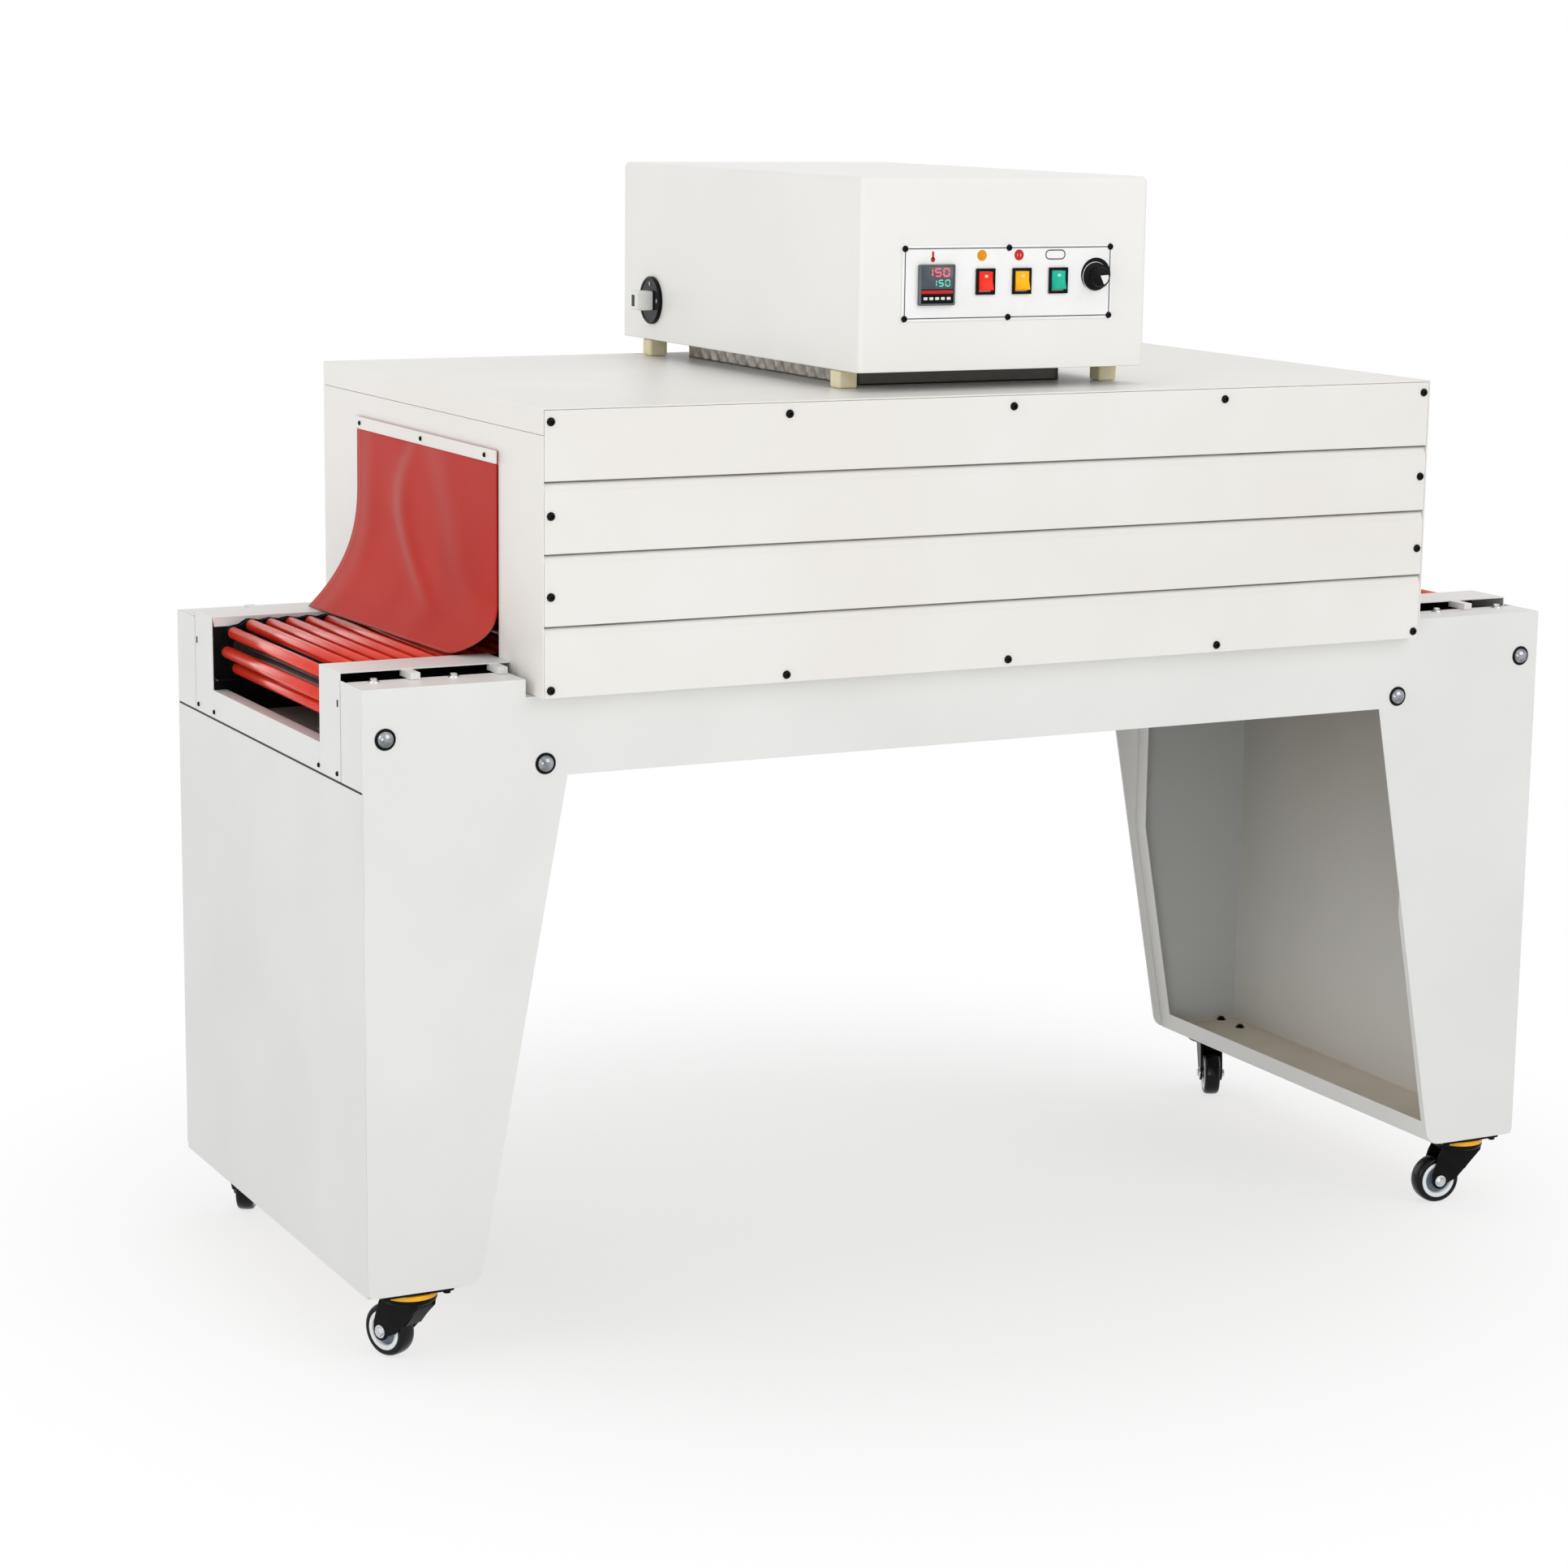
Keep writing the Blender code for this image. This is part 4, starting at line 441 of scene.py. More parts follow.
# %% Finish the panels that stay
def dress(name, finish, edge=0.0009, segments=2):
    """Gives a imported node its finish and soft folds."""
    node = NODES[name]
    node.data.materials.clear()
    node.data.materials.append(finish)
    custom = node.data.attributes.get("custom_normal")
    if custom:
        node.data.attributes.remove(custom)
    node.data.shade_smooth()
    weld = node.modifiers.new("weld", "WELD")
    weld.merge_threshold = 0.00001
    flat = node.modifiers.new("flat_faces_joined", "DECIMATE")
    flat.decimate_type = "DISSOLVE"
    flat.angle_limit = math.radians(0.5)
    round_edges(node, edge, segments)


ENDS = ("left", "right")
SIDES = ("front", "back")
CORNERS = [f"{side}_{end}" for side in SIDES for end in ENDS]
for side in SIDES:
    dress(f"side_panel_{side}", BASE_COAT, 0.0009)
    dress(f"tunnel_panel_{side}", TUNNEL_COAT, 0.0008)
    dress(f"chain_rail_{side}", BLACK_OXIDE, 0.0004)
for end in ENDS:
    dress(f"leg_box_{end}", LEG_COAT, 0.0009)
    dress(f"tunnel_end_{end}", TUNNEL_COAT, 0.0006)
    dress(f"end_lip_{end}", BASE_COAT, 0.0006)
    dress(f"end_axle_{end}", TRAY_PAINT, 0.0005)
for corner in CORNERS:
    dress(f"chain_cover_{corner}", BASE_COAT, 0.0007)
    dress(f"spacer_foot_{corner}", CREAM_NYLON, 0.0008)
dress("tunnel_roof", TUNNEL_COAT, 0.0009)
# the tray's pale brown-grey is a painted reflection on dark enamel
dress("conveyor_tray", TRAY_PAINTED_REFLECTION, 0.0004)
dress("bed_plate", TRAY_PAINT, 0.0008)
dress("chamber_liner", LINING, 0.0006)
dress("control_box_base", STEEL, 0.0004)
dress("control_plate", PLATE_PLASTIC, 0.0004)
print("dressed nodes:", sum(bool(node.modifiers) for node in NODES.values()))

# %% [markdown]
# The conveyor is the piece that moves the goods. Rollers of 15 mm ride every 25.4 mm on two endless
# chains. A place on the loop follows from the length run along it: straight on top, half a turn round
# the right sprockets, straight back below, and half a turn round the left ones. All rollers, link
# plates and pins are set from that one function, as whole arrays.

# %% The loop and its rollers
ROLLER_PITCH = 0.0254
ROLLER_COUNT = 128
ROLLER_PHASE = 0.003
TURN_RADIUS = 0.0285
LOOP_LOW, LOOP_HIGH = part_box("roller_conveyor")
LOOP_Y = (LOOP_LOW.y + LOOP_HIGH.y) / 2
LOOP_Z = (LOOP_LOW.z + LOOP_HIGH.z) / 2
HALF_STRAIGHT = (ROLLER_PITCH * ROLLER_COUNT - 2 * math.pi * TURN_RADIUS) / 4
ROLLER_RADIUS = 0.0075
ROLLER_HALF = 0.1785


def on_loop(run):
    """Places (x, y, z) at lengths run along the loop from its top middle."""
    wrap = math.pi * TURN_RADIUS
    run = np.mod(run, 4 * HALF_STRAIGHT + 2 * wrap)
    right = (run - HALF_STRAIGHT) / TURN_RADIUS
    left = (run - 3 * HALF_STRAIGHT - wrap) / TURN_RADIUS + math.pi
    parts = [run < HALF_STRAIGHT, run < HALF_STRAIGHT + wrap, run < 3 * HALF_STRAIGHT + wrap,
             run < 3 * HALF_STRAIGHT + 2 * wrap]
    x = np.select(parts, [
        run, HALF_STRAIGHT + TURN_RADIUS * np.sin(right), 2 * HALF_STRAIGHT + wrap - run,
        TURN_RADIUS * np.sin(left) - HALF_STRAIGHT,
    ], run - 4 * HALF_STRAIGHT - 2 * wrap)
    z = np.select(parts, [
        TURN_RADIUS + 0 * run, TURN_RADIUS * np.cos(right), 0 * run - TURN_RADIUS,
        TURN_RADIUS * np.cos(left),
    ], TURN_RADIUS)
    return np.column_stack([x, np.full(len(x), LOOP_Y), LOOP_Z + z])


PINS = on_loop(np.arange(ROLLER_COUNT) * ROLLER_PITCH - ROLLER_PHASE)
SLEEVE_EDGE = 0.0012
tube_profile = [
    (0.0035, -ROLLER_HALF + 0.0006), (ROLLER_RADIUS - SLEEVE_EDGE, -ROLLER_HALF),
    (ROLLER_RADIUS, -ROLLER_HALF + SLEEVE_EDGE), (ROLLER_RADIUS, 0.0),
    (ROLLER_RADIUS, ROLLER_HALF - SLEEVE_EDGE), (ROLLER_RADIUS - SLEEVE_EDGE, ROLLER_HALF),
    (0.0035, ROLLER_HALF - 0.0006),
]
rollers = copies(turned(tube_profile, 14), PINS, TO_FRONT)
make_piece("roller_sleeves", rollers, RED_TUBE, stands_for=["roller_conveyor"],
           sharp=60)
print("rollers:", ROLLER_COUNT, "pitch in mm:", ROLLER_PITCH * 1000)

# %% [markdown]
# Each chain is plates and pins. A link plate is two discs joined by a waist, which its outline draws
# as two half circles and two middle points. Inner and outer pairs follow each other along the loop,
# each one turned from its own pin to the next.

# %% The chain
PLATE_END_RADIUS = 0.0074
PLATE_WAIST = 0.0052
PLATE_THICKNESS = 0.0014
CHAIN_MIDDLE = 0.186
after = np.roll(PINS, -1, axis=0) - PINS
chord = np.linalg.norm(after, axis=1)
link_turns = np.zeros((ROLLER_COUNT, 3, 3))
link_turns[:, 0, 0] = after[:, 0] / chord
link_turns[:, 2, 0] = after[:, 2] / chord
link_turns[:, 0, 1] = -after[:, 2] / chord
link_turns[:, 2, 1] = after[:, 0] / chord
link_turns[:, 1, 2] = -1
half_arc = np.linspace(np.pi / 2, 3 * np.pi / 2, 5)
left_end = np.column_stack([np.cos(half_arc), np.sin(half_arc)]) * PLATE_END_RADIUS
half_pitch = ROLLER_PITCH / 2 - 0.0002
plate_outline = np.vstack([
    left_end - [half_pitch, 0], [[0, -PLATE_WAIST]], [half_pitch, 0] - left_end, [[0, PLATE_WAIST]],
])
plate = slab(plate_outline, -PLATE_THICKNESS / 2, PLATE_THICKNESS / 2)
middles = PINS + after / 2
plates = []
for side in (-1, 1):
    for first, offset in ((0, 0.0030), (1, 0.0047)):
        for way in (-1, 1):
            shift = np.array([0, side * CHAIN_MIDDLE + way * offset, 0])
            plates.append(copies(plate, middles[first::2] + shift, link_turns[first::2]))
make_piece("chain_link_plates", joined(*plates), BLACK_OXIDE)
pin = turned([(0, -0.0058), (0.0022, -0.0058), (0.0027, -0.0052), (0.0027, 0.0052), (0.0022, 0.0058),
              (0, 0.0058)], 8)
stub = turned([(0, -0.005), (0.003, -0.005), (0.003, 0.003), (0, 0.003)], 8)
pins = [copies(part, PINS + np.array([0, side * out, 0]), TO_FRONT)
        for part, out in ((pin, CHAIN_MIDDLE), (stub, ROLLER_HALF + 0.002)) for side in (-1, 1)]
make_piece("chain_pins", joined(*pins), STEEL)

# %% [markdown]
# A curtain closes each mouth and lets the goods push through. It is a sheet of silicone rubber on glass
# cloth, clamped along its top. It hangs straight, then curls outward where it stands on the rollers,
# further at the back edge than at the front, and its front lower corner is cut round. One function of
# u, across, and v, down, gives that whole face, and a Solidify modifier its 2 mm.

# %% Curtains
CURTAIN_TOP = 1.0440
CURTAIN_END = 0.8088
BEND_FAR, BEND_NEAR = 0.9686, 0.8706
REACH_FAR, REACH_NEAR = 0.067, 0.043
CURL_POWER = 2.6
CORNER_CUT = 0.046
STRAIGHT_SHARE = 0.4
CURTAIN_WALL = 0.0022
PLEAT_RISE = 0.0055
SHEEN_BOW_END = 0.8


def ridge(u, middle, width):
    """A soft ridge across u: e to the power of minus the square of (u - middle) / width."""
    return np.exp(-((u - middle) / width) ** 2)


def curtain_face(end, columns=65, rows=73):
    """The outer face: x = wall + reach s^2.6, z = bend + (foot - bend) s, with s from 0 to 1 below the bend.

    Three soft pleats swell it outward by a few millimetres. The widest one bows over to the back edge
    and forward again, and a painted sheen lies paler beside it. Near the front edge s stops short by a
    quarter circle, which rounds the corner.
    """
    low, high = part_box(f"curtain_{end}")
    side = -1 if end == "left" else 1
    wall = high.x if side < 0 else low.x
    outward = side * (abs(wall) + 0.0025)
    u, v = np.meshgrid(np.linspace(0, 1, columns) ** 1.6, np.linspace(0, 1, rows), indexing="ij")
    width = high.y - low.y
    bend = BEND_NEAR + (BEND_FAR - BEND_NEAR) * u
    reach = REACH_NEAR + (REACH_FAR - REACH_NEAR) * u
    from_edge = np.clip(CORNER_CUT - u * width, 0, CORNER_CUT)
    cut = CORNER_CUT - np.sqrt(CORNER_CUT ** 2 - from_edge ** 2)
    kept = 1 - cut / np.hypot(bend - CURTAIN_END, reach)
    share = kept * np.clip((v - STRAIGHT_SHARE) / (1 - STRAIGHT_SHARE), 0, 1)
    z = np.where(v < STRAIGHT_SHARE, CURTAIN_TOP + (bend - CURTAIN_TOP) * v / STRAIGHT_SHARE,
                 bend + (CURTAIN_END - bend) * share)
    fall = np.clip((v - 0.06) / 0.5, 0, 1)
    near = np.minimum(v, SHEEN_BOW_END)
    bow = 0.53 + 0.88 * near - 1.36 * near ** 2
    pleats = ridge(u, bow, 0.07) + 0.6 * ridge(u, 0.92 - 0.02 * v, 0.07)
    pleats = pleats + 0.5 * ridge(u, 0.28 - 0.1 * v, 0.12)
    x = outward + side * (reach * share ** CURL_POWER + PLEAT_RISE * pleats * fall * (1.25 - v))
    # marks is a painted sheen: paler cloth along the widest pleat and at two more places, for the soft
    # highlights of the folds
    marks = 0.75 * ridge(u, bow + 0.01, 0.035) * np.sin(np.pi * np.clip(v / SHEEN_BOW_END, 0, 1)) ** 0.7
    marks = marks + 0.3 * ridge(u, 0.93, 0.05) + 0.3 * ridge(u, 0.46 - 0.45 * v, 0.07) * (1 - v)
    return np.stack([x, low.y + width * u, z], axis=-1), np.stack([u, v], axis=-1), marks


def silicone_cloth():
    """Silicone on glass cloth: dull red with a soft shine, threads of 1 mm drawn at 2.5 mm so that they
    show, and the pale cut edge of the cloth at the foot."""
    # the cloth also carries a painted sheen, pale pink bands where the folds catch the light
    made, tree, shader = new_finish("red_silicone_glass_cloth", Roughness=0.46, Specular_IOR_Level=0.06)
    flat = add_node(tree, "ShaderNodeUVMap", uv_map="flat_cloth").outputs["UV"]
    down = add_node(tree, "ShaderNodeSeparateXYZ", {"Vector": flat}).outputs["Y"]
    foot = add_node(tree, "ShaderNodeMath", {0: down, 1: 0.991}, operation="GREATER_THAN").outputs[0]
    tone = two_tone(tree, spots(tree, 90), "BE2E24", "C9372C")
    # Painted sheen: the cloth goes pale pink where the marks lie
    marks = add_node(tree, "ShaderNodeAttribute", attribute_name="painted_sheen").outputs["Fac"]
    sheen_painted = add_node(tree, "ShaderNodeMix", {"Factor": marks, 6: tone, 7: linear("BC6660")},
                     data_type="RGBA").outputs[2]
    mixed = add_node(tree, "ShaderNodeMix", {"Factor": foot, 6: sheen_painted, 7: linear("B0544A")},
                     data_type="RGBA").outputs[2]
    tree.links.new(mixed, shader.inputs["Base Color"])
    place = add_node(tree, "ShaderNodeTexCoord").outputs["Object"]
    threads = [
        add_node(tree, "ShaderNodeTexWave", {"Vector": place, "Scale": 1000 / 2.5 / 6.28, "Distortion": 0.4},
                 bands_direction=axis, wave_profile="SIN").outputs["Fac"]
        for axis in "YZ"
    ]
    weave = add_node(tree, "ShaderNodeMath", {0: threads[0], 1: threads[1]}, operation="MULTIPLY").outputs[0]
    bumped(tree, shader, [(weave, 0.00025, 0.25), (spots(tree, 70, 1.0), 0.003, 0.4)])
    return made


CLOTH = silicone_cloth()
for end in ENDS:
    face, flat, marks = curtain_face(end)
    columns, rows = face.shape[:2]
    quads = grid_quads(columns, rows)
    if end == "right":
        quads = quads[:, ::-1]
    mesh = bpy.data.meshes.new(f"curtain_cloth_{end}")
    mesh.from_pydata(face.reshape(-1, 3).tolist(), [], quads.tolist())
    spread = mesh.uv_layers.new(name="flat_cloth")
    corner_points = np.empty(len(mesh.loops), int)
    mesh.loops.foreach_get("vertex_index", corner_points)
    spread.data.foreach_set("uv", flat.reshape(-1, 2)[corner_points].ravel())
    sheen_painted = mesh.attributes.new("painted_sheen", "FLOAT", "POINT")
    sheen_painted.data.foreach_set("value", np.clip(marks, 0, 1).ravel())
    mesh.shade_smooth()
    mesh.materials.append(CLOTH)
    curtain = bpy.data.objects.new(f"curtain_cloth_{end}", mesh)
    bpy.context.scene.collection.objects.link(curtain)
    outward = mesh.polygons[0].normal.x * (-1 if end == "left" else 1)
    wall = curtain.modifiers.new("cloth_thickness", "SOLIDIFY")
    wall.thickness = CURTAIN_WALL
    wall.offset = -1.0 if outward > 0 else 1.0
    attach(curtain, "machine")
    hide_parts(f"curtain_{end}")

# %% [markdown]
# Screws are turned shapes with a sunk middle, set many at a time. Each tunnel panel has a row of five
# black ones above and below and two more at each end, and the base has bright domes on dark washers.
# The clamp bar over each curtain is a flat white strip with three small screws.

# %% Screws and clamp bars
BLACK_HEAD = turned([(0, 0.0012), (0.0018, 0.0012), (0.0020, 0.0032), (0.0034, 0.0029), (0.0045, 0.0019),
                     (0.0050, 0.0006), (0.0050, -0.0003), (0, -0.0003)], 18)
DOME = turned([(0, 0.0068), (0.0030, 0.0066), (0.0062, 0.0054), (0.0086, 0.0034), (0.0098, 0.0012),
               (0.0098, 0.0), (0, 0.0)], 28)
WASHER = turned([(0, 0.0011), (0.0116, 0.0011), (0.0125, 0.0006), (0.0125, -0.0002), (0, -0.0002)], 28)
SMALL_HEAD = turned([(0, 0.0008), (0.0010, 0.0008), (0.0012, 0.0020), (0.0024, 0.0016), (0.0030, 0.0005),
                     (0.0030, -0.0002), (0, -0.0002)], 14)
PANEL_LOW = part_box("tunnel_panel_front")[0]
PANEL_Y = {"front": PANEL_LOW.y, "back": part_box("tunnel_panel_back")[1].y}
BASE_Y = {"front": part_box("side_panel_front")[0].y, "back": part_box("side_panel_back")[1].y}
STAND = {"front": TO_FRONT, "back": TO_BACK}
END_STAND = {"left": TO_LEFT, "right": TO_RIGHT}


def spread_points(xs, y, zs):
    """Every x with every z, at one y."""
    x, z = np.meshgrid(np.asarray(xs, float), np.asarray(zs, float), indexing="ij")
    return np.column_stack([x.ravel(), np.full(x.size, y), z.ravel()])


# Under the ledge of each step of the ribbed panels a dark strip is painted shade, where the ledge shades the
# groove
BAND_COUNT = 4
GROOVE_DEPTH = 0.006
LINE_HALF = 0.6
ROOF_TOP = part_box("tunnel_roof")[1].z
panel_pitch = (ROOF_TOP - PANEL_LOW.z) / BAND_COUNT
bar = slab([(-LINE_HALF, -0.0018), (LINE_HALF, -0.0018), (LINE_HALF, -0.0002), (-LINE_HALF, -0.0002)],
           -0.0022, 0.0022)
groove_shade_shapes = []
for side, inward in (("front", 1), ("back", -1)):
    middle = PANEL_Y[side] + inward * (0.0012 + GROOVE_DEPTH) / 2
    ledges = [(0, middle, ROOF_TOP - step * panel_pitch) for step in range(1, BAND_COUNT)]
    groove_shade_shapes.append(copies(bar, ledges, TO_FRONT))
make_piece("panel_groove_painted_shade", joined(*groove_shade_shapes), GROOVE_PAINTED_SHADE)

panel_screws, domes, washers = [], [], []
for side in SIDES:
    line = spread_points((-0.594, -0.297, 0.0, 0.297, 0.594), PANEL_Y[side], (1.0885, 0.786))
    columns = spread_points((-0.594, 0.594), PANEL_Y[side], (0.983, 0.892))
    panel_screws.append(copies(BLACK_HEAD, np.vstack([line, columns]), STAND[side]))
    held = np.vstack([spread_points((-0.784, 0.784), BASE_Y[side], (0.740,)),
                      spread_points((-0.591, 0.591), BASE_Y[side], (0.699,))])
    washers.append(copies(WASHER, held, STAND[side]))
    domes.append(copies(DOME, held, STAND[side]))
make_piece("tunnel_panel_screws", joined(*panel_screws), BLACK_PLASTIC)
make_piece("base_bolt_washers", joined(*washers), BLACK_OXIDE)
make_piece("base_dome_bolts", joined(*domes), DOME_STEEL)
for end in ENDS:
    dress(f"curtain_clamp_{end}", TUNNEL_COAT, 0.0006)
clamp_screws = []
for end in ENDS:
    low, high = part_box(f"curtain_clamp_{end}")
    face_x = low.x if end == "left" else high.x
    places = [(face_x, LOOP_Y + y, (low.z + high.z) / 2) for y in (-0.2015, 0.0, 0.209)]
    clamp_screws.append(copies(SMALL_HEAD, places, END_STAND[end]))
make_piece("clamp_bar_screws", joined(*clamp_screws), BLACK_OXIDE)

# %% [markdown]
# Small fasteners hold the covers: two screws and a slot at each corner of the end walls, and two bright
# bolts on the flange beside each cover. Four black bolts in each corner of the leg floors hold the
# casters. They are placed at one corner and mirrored to the others by signs.

# %% Cover and leg fasteners
marks, slots, flange_bolts, floor_bolts = [], [], [], []
slot_shape = slab(rounded_rectangle(0.0032, 0.0085, 0.0015, 3), -0.0002, 0.0006)
bolt = turned([(0, 0.0045), (0.0035, 0.0045), (0.0042, 0.0038), (0.0042, 0.0015), (0.0065, 0.0013),
               (0.0068, 0.0), (0, 0.0)], 12)
FLANGE_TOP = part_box("side_panel_front")[1].z
FLANGE_BOLTS_X, FLANGE_BOLTS_Y = (0.779, 0.683), 0.2865
CASTER_X, CASTER_Y = 0.7475, 0.3
CASTER_HOLES = [(x, y) for x in (-0.037, 0.037) for y in (-0.025, 0.025)]
for end in ENDS:
    sign = -1 if end == "left" else 1
    face_x = sign * HALF_LENGTH
    for side_sign in (-1, 1):
        near, far = LOOP_Y + side_sign * 0.2520, LOOP_Y + side_sign * 0.1905
        marks.append(copies(SMALL_HEAD, [(face_x, near, 0.6890), (face_x, far, 0.6885)], END_STAND[end]))
        slots.append(copies(slot_shape, [(face_x, near + side_sign * 0.003, 0.7700)], END_STAND[end]))
        flange_bolts.append(copies(bolt, [(sign * x, LOOP_Y + side_sign * FLANGE_BOLTS_Y, FLANGE_TOP)
                                          for x in FLANGE_BOLTS_X]))
        caster_x, caster_y = sign * CASTER_X, LOOP_Y + side_sign * CASTER_Y
        floor_bolts.append(copies(bolt, [(caster_x + x, caster_y + y, LEG_LOW.z + 0.002)
                                         for x, y in CASTER_HOLES]))
make_piece("cover_end_screws", joined(*marks), BLACK_OXIDE)
make_piece("cover_end_slots", joined(*slots), BLACK_PLASTIC)
make_piece("flange_bolts", joined(*flange_bolts), STEEL)
make_piece("leg_floor_bolts", joined(*floor_bolts), BLACK_OXIDE)

# %% [markdown]
# Where the end lip and the covers meet the leg box below them, the sheets leave a dark joint. A thin
# black seal fills it, flush but for a fifth of a millimetre.

# %% Joint seals
JOINT_HEIGHT = 0.0026
joint_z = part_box("leg_box_left")[1].z
for end in ENDS:
    low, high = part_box(f"leg_box_{end}")
    seal = slab([(low.y + 0.002, -JOINT_HEIGHT / 2), (high.y - 0.002, -JOINT_HEIGHT / 2),
                 (high.y - 0.002, JOINT_HEIGHT / 2), (low.y + 0.002, JOINT_HEIGHT / 2)], -0.0012, 0.0002)
    outward = np.array([[0, 0, -1], [1, 0, 0], [0, 1, 0]]) if end == "left" else TO_RIGHT
    face_x = low.x if end == "left" else high.x
    make_piece(f"joint_seal_{end}", copies(seal, [(face_x, 0, joint_z)], outward), BLACK_PLASTIC)
print("joint seals at height", round(joint_z, 4))

# %% [markdown]
# The control box is a drawn and folded shell whose edges are all round. Its wall runs round a rounded
# rectangle and its top closes through a quarter circle, which is one grid of points with a lid. It
# is open below, and gets its sheet thickness from Solidify.

# %% Control box
BOX_LOW, BOX_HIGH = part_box("control_box")
BOX_RADIUS = 0.007
box_width, box_depth = BOX_HIGH.x - BOX_LOW.x, BOX_HIGH.y - BOX_LOW.y
box_middle = np.array([(BOX_LOW.x + BOX_HIGH.x) / 2, (BOX_LOW.y + BOX_HIGH.y) / 2, 0])
angle = np.linspace(0, np.pi / 2, 9)
insets = np.concatenate([[0.0, 0.0, 0.0], BOX_RADIUS * (1 - np.cos(angle))])
levels = np.concatenate([[BOX_LOW.z, BOX_LOW.z + 0.0008, BOX_HIGH.z - 2 * BOX_RADIUS],
                         BOX_HIGH.z - BOX_RADIUS * (1 - np.sin(angle))])
rings = np.stack([
    np.column_stack([rounded_rectangle(box_width - 2 * gone, box_depth - 2 * gone,
                                       max(BOX_RADIUS - gone, 0.0004), 8), np.full(36, level)])
    for gone, level in zip(insets, levels)
])
count = rings.shape[1]
shell = (rings.reshape(-1, 3) + box_middle, [
    grid_quads(len(rings), count, wrap=True), (np.arange(count) + (len(rings) - 1) * count)[None, :],
])
housing = make_piece("control_housing", shell, BOX_COAT, stands_for=["control_box"],
                     sharp=50)
wall = housing.modifiers.new("sheet", "SOLIDIFY")
wall.thickness = 0.002
wall.offset = -1.0
weight = housing.modifiers.new("flat_faces", "WEIGHTED_NORMAL")
weight.weight = 60

# %% [markdown]
# Between the roof and the box sits the fan's collar. It is thin galvanised foil, wrapped round by hand
# and crumpled. Its height and the way round are the two parameters, and each point moves in by the
# sum of folded waves at odd angles, which gives flat facets with sharp creases. Only its front wall is
# a plain plate, and its dark grey is painted shade from the box above it.

# %% Crumpled collar
def collar_sheet():
    """Galvanised sheet whose tone goes to a dark grey on the plain front wall, painted shade under the box.
    """
    made, tree, shader = new_finish("galvanised_collar_sheet", Roughness=0.38, Metallic=0.85)
    tone = two_tone(tree, spots(tree, 9), "8C8780", "AAA59C")
    front = add_node(tree, "ShaderNodeAttribute", attribute_name="front_painted_shade").outputs["Fac"]
    mixed = add_node(tree, "ShaderNodeMix", {"Factor": front, 6: tone, 7: linear("4C4B47")}, data_type="RGBA")
    tree.links.new(mixed.outputs[2], shader.inputs["Base Color"])
    bumped(tree, shader, [(spots(tree, 3), 0.00008, 0.4)])
    return made


COLLAR_LOW, COLLAR_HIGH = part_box("fan_collar")
wave_source = np.random.default_rng(11)
round_count, up_count = 420, 10
CRUMPLE_DEPTH = 0.0045
outline = rounded_rectangle(COLLAR_HIGH.x - COLLAR_LOW.x, COLLAR_HIGH.y - COLLAR_LOW.y, 0.012, 6)
closed = np.vstack([outline, outline[:1]])
run = np.concatenate([[0], np.cumsum(np.linalg.norm(np.diff(closed, axis=0), axis=1))])
wanted = np.linspace(0, run[-1], round_count, endpoint=False)
base = np.column_stack([np.interp(wanted, run, closed[:, axis]) for axis in (0, 1)])
ahead = np.roll(base, -1, axis=0) - np.roll(base, 1, axis=0)
inward = np.column_stack([-ahead[:, 1], ahead[:, 0]]) / np.linalg.norm(ahead, axis=1)[:, None]
height = np.linspace(COLLAR_LOW.z, COLLAR_HIGH.z, up_count)
crumple = np.zeros((up_count, round_count))
for _ in range(9):
    turns_round = wave_source.integers(18, 95)
    slope, phase = wave_source.uniform(-220, 220), wave_source.uniform(0, 6.28)
    wave = 2 * np.pi * turns_round * wanted / run[-1] + slope * height[:, None] + phase
    crumple += np.abs(np.sin(wave)) * wave_source.uniform(0.2, 0.6)
half_depth = (COLLAR_HIGH.y - COLLAR_LOW.y) / 2
# Painted shade: this share darkens the front wall, which lies in the shade under the box
front_painted_shade = np.clip((0.006 - half_depth - base[:, 1]) / 0.004, 0, 1)
crumple = CRUMPLE_DEPTH * crumple / crumple.max() * (1 - 0.85 * front_painted_shade)
collar_points = np.concatenate([
    base[None] + inward[None] * crumple[:, :, None],
    np.broadcast_to(height[:, None, None], (up_count, round_count, 1)),
], axis=2)
collar_middle = np.array([(COLLAR_LOW.x + COLLAR_HIGH.x) / 2, (COLLAR_LOW.y + COLLAR_HIGH.y) / 2, 0])
collar_shape = (collar_points.reshape(-1, 3) + collar_middle, [grid_quads(up_count, round_count, wrap=True)])
collar = make_piece("crumpled_fan_collar", collar_shape, collar_sheet(), stands_for=["fan_collar"],
                    sharp=25)
front_layer = collar.data.attributes.new("front_painted_shade", "FLOAT", "POINT")
front_layer.data.foreach_set("value", np.tile(front_painted_shade, up_count))
foil = collar.modifiers.new("foil", "SOLIDIFY")
foil.thickness = 0.0008
foil.offset = -1.0

# %% [markdown]
# The control plate carries a thin printed frame, six screws and a few plain pictures. Prints are thin
# raised shapes of a fifth of a millimetre, so that they are there from every angle.

# %% Prints and screws of the control plate
PLATE_LOW, PLATE_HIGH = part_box("control_plate")
FACE_Y = PLATE_LOW.y
PRINT_DEPTH = 0.0002


def frame_line(width, height, radius, line):
    """A closed line of a rounded rectangle: an outer and an inner outline, raised by the print depth."""
    outer = rounded_rectangle(width, height, radius, 4)
    inner = rounded_rectangle(width - 2 * line, height - 2 * line, radius - line, 4)
    count = len(outer)
    levels = [(outer, 0.0), (outer, PRINT_DEPTH), (inner, PRINT_DEPTH), (inner, 0.0), (outer, 0.0)]
    points = np.vstack([np.column_stack([flat, np.full(count, z)]) for flat, z in levels])
    return points, [grid_quads(len(levels), count, wrap=True)]


def disc(radius, depth=PRINT_DEPTH, steps=24):
    """A flat printed disc."""
    return turned([(0, depth), (radius, depth), (radius, 0), (0, 0)], steps)


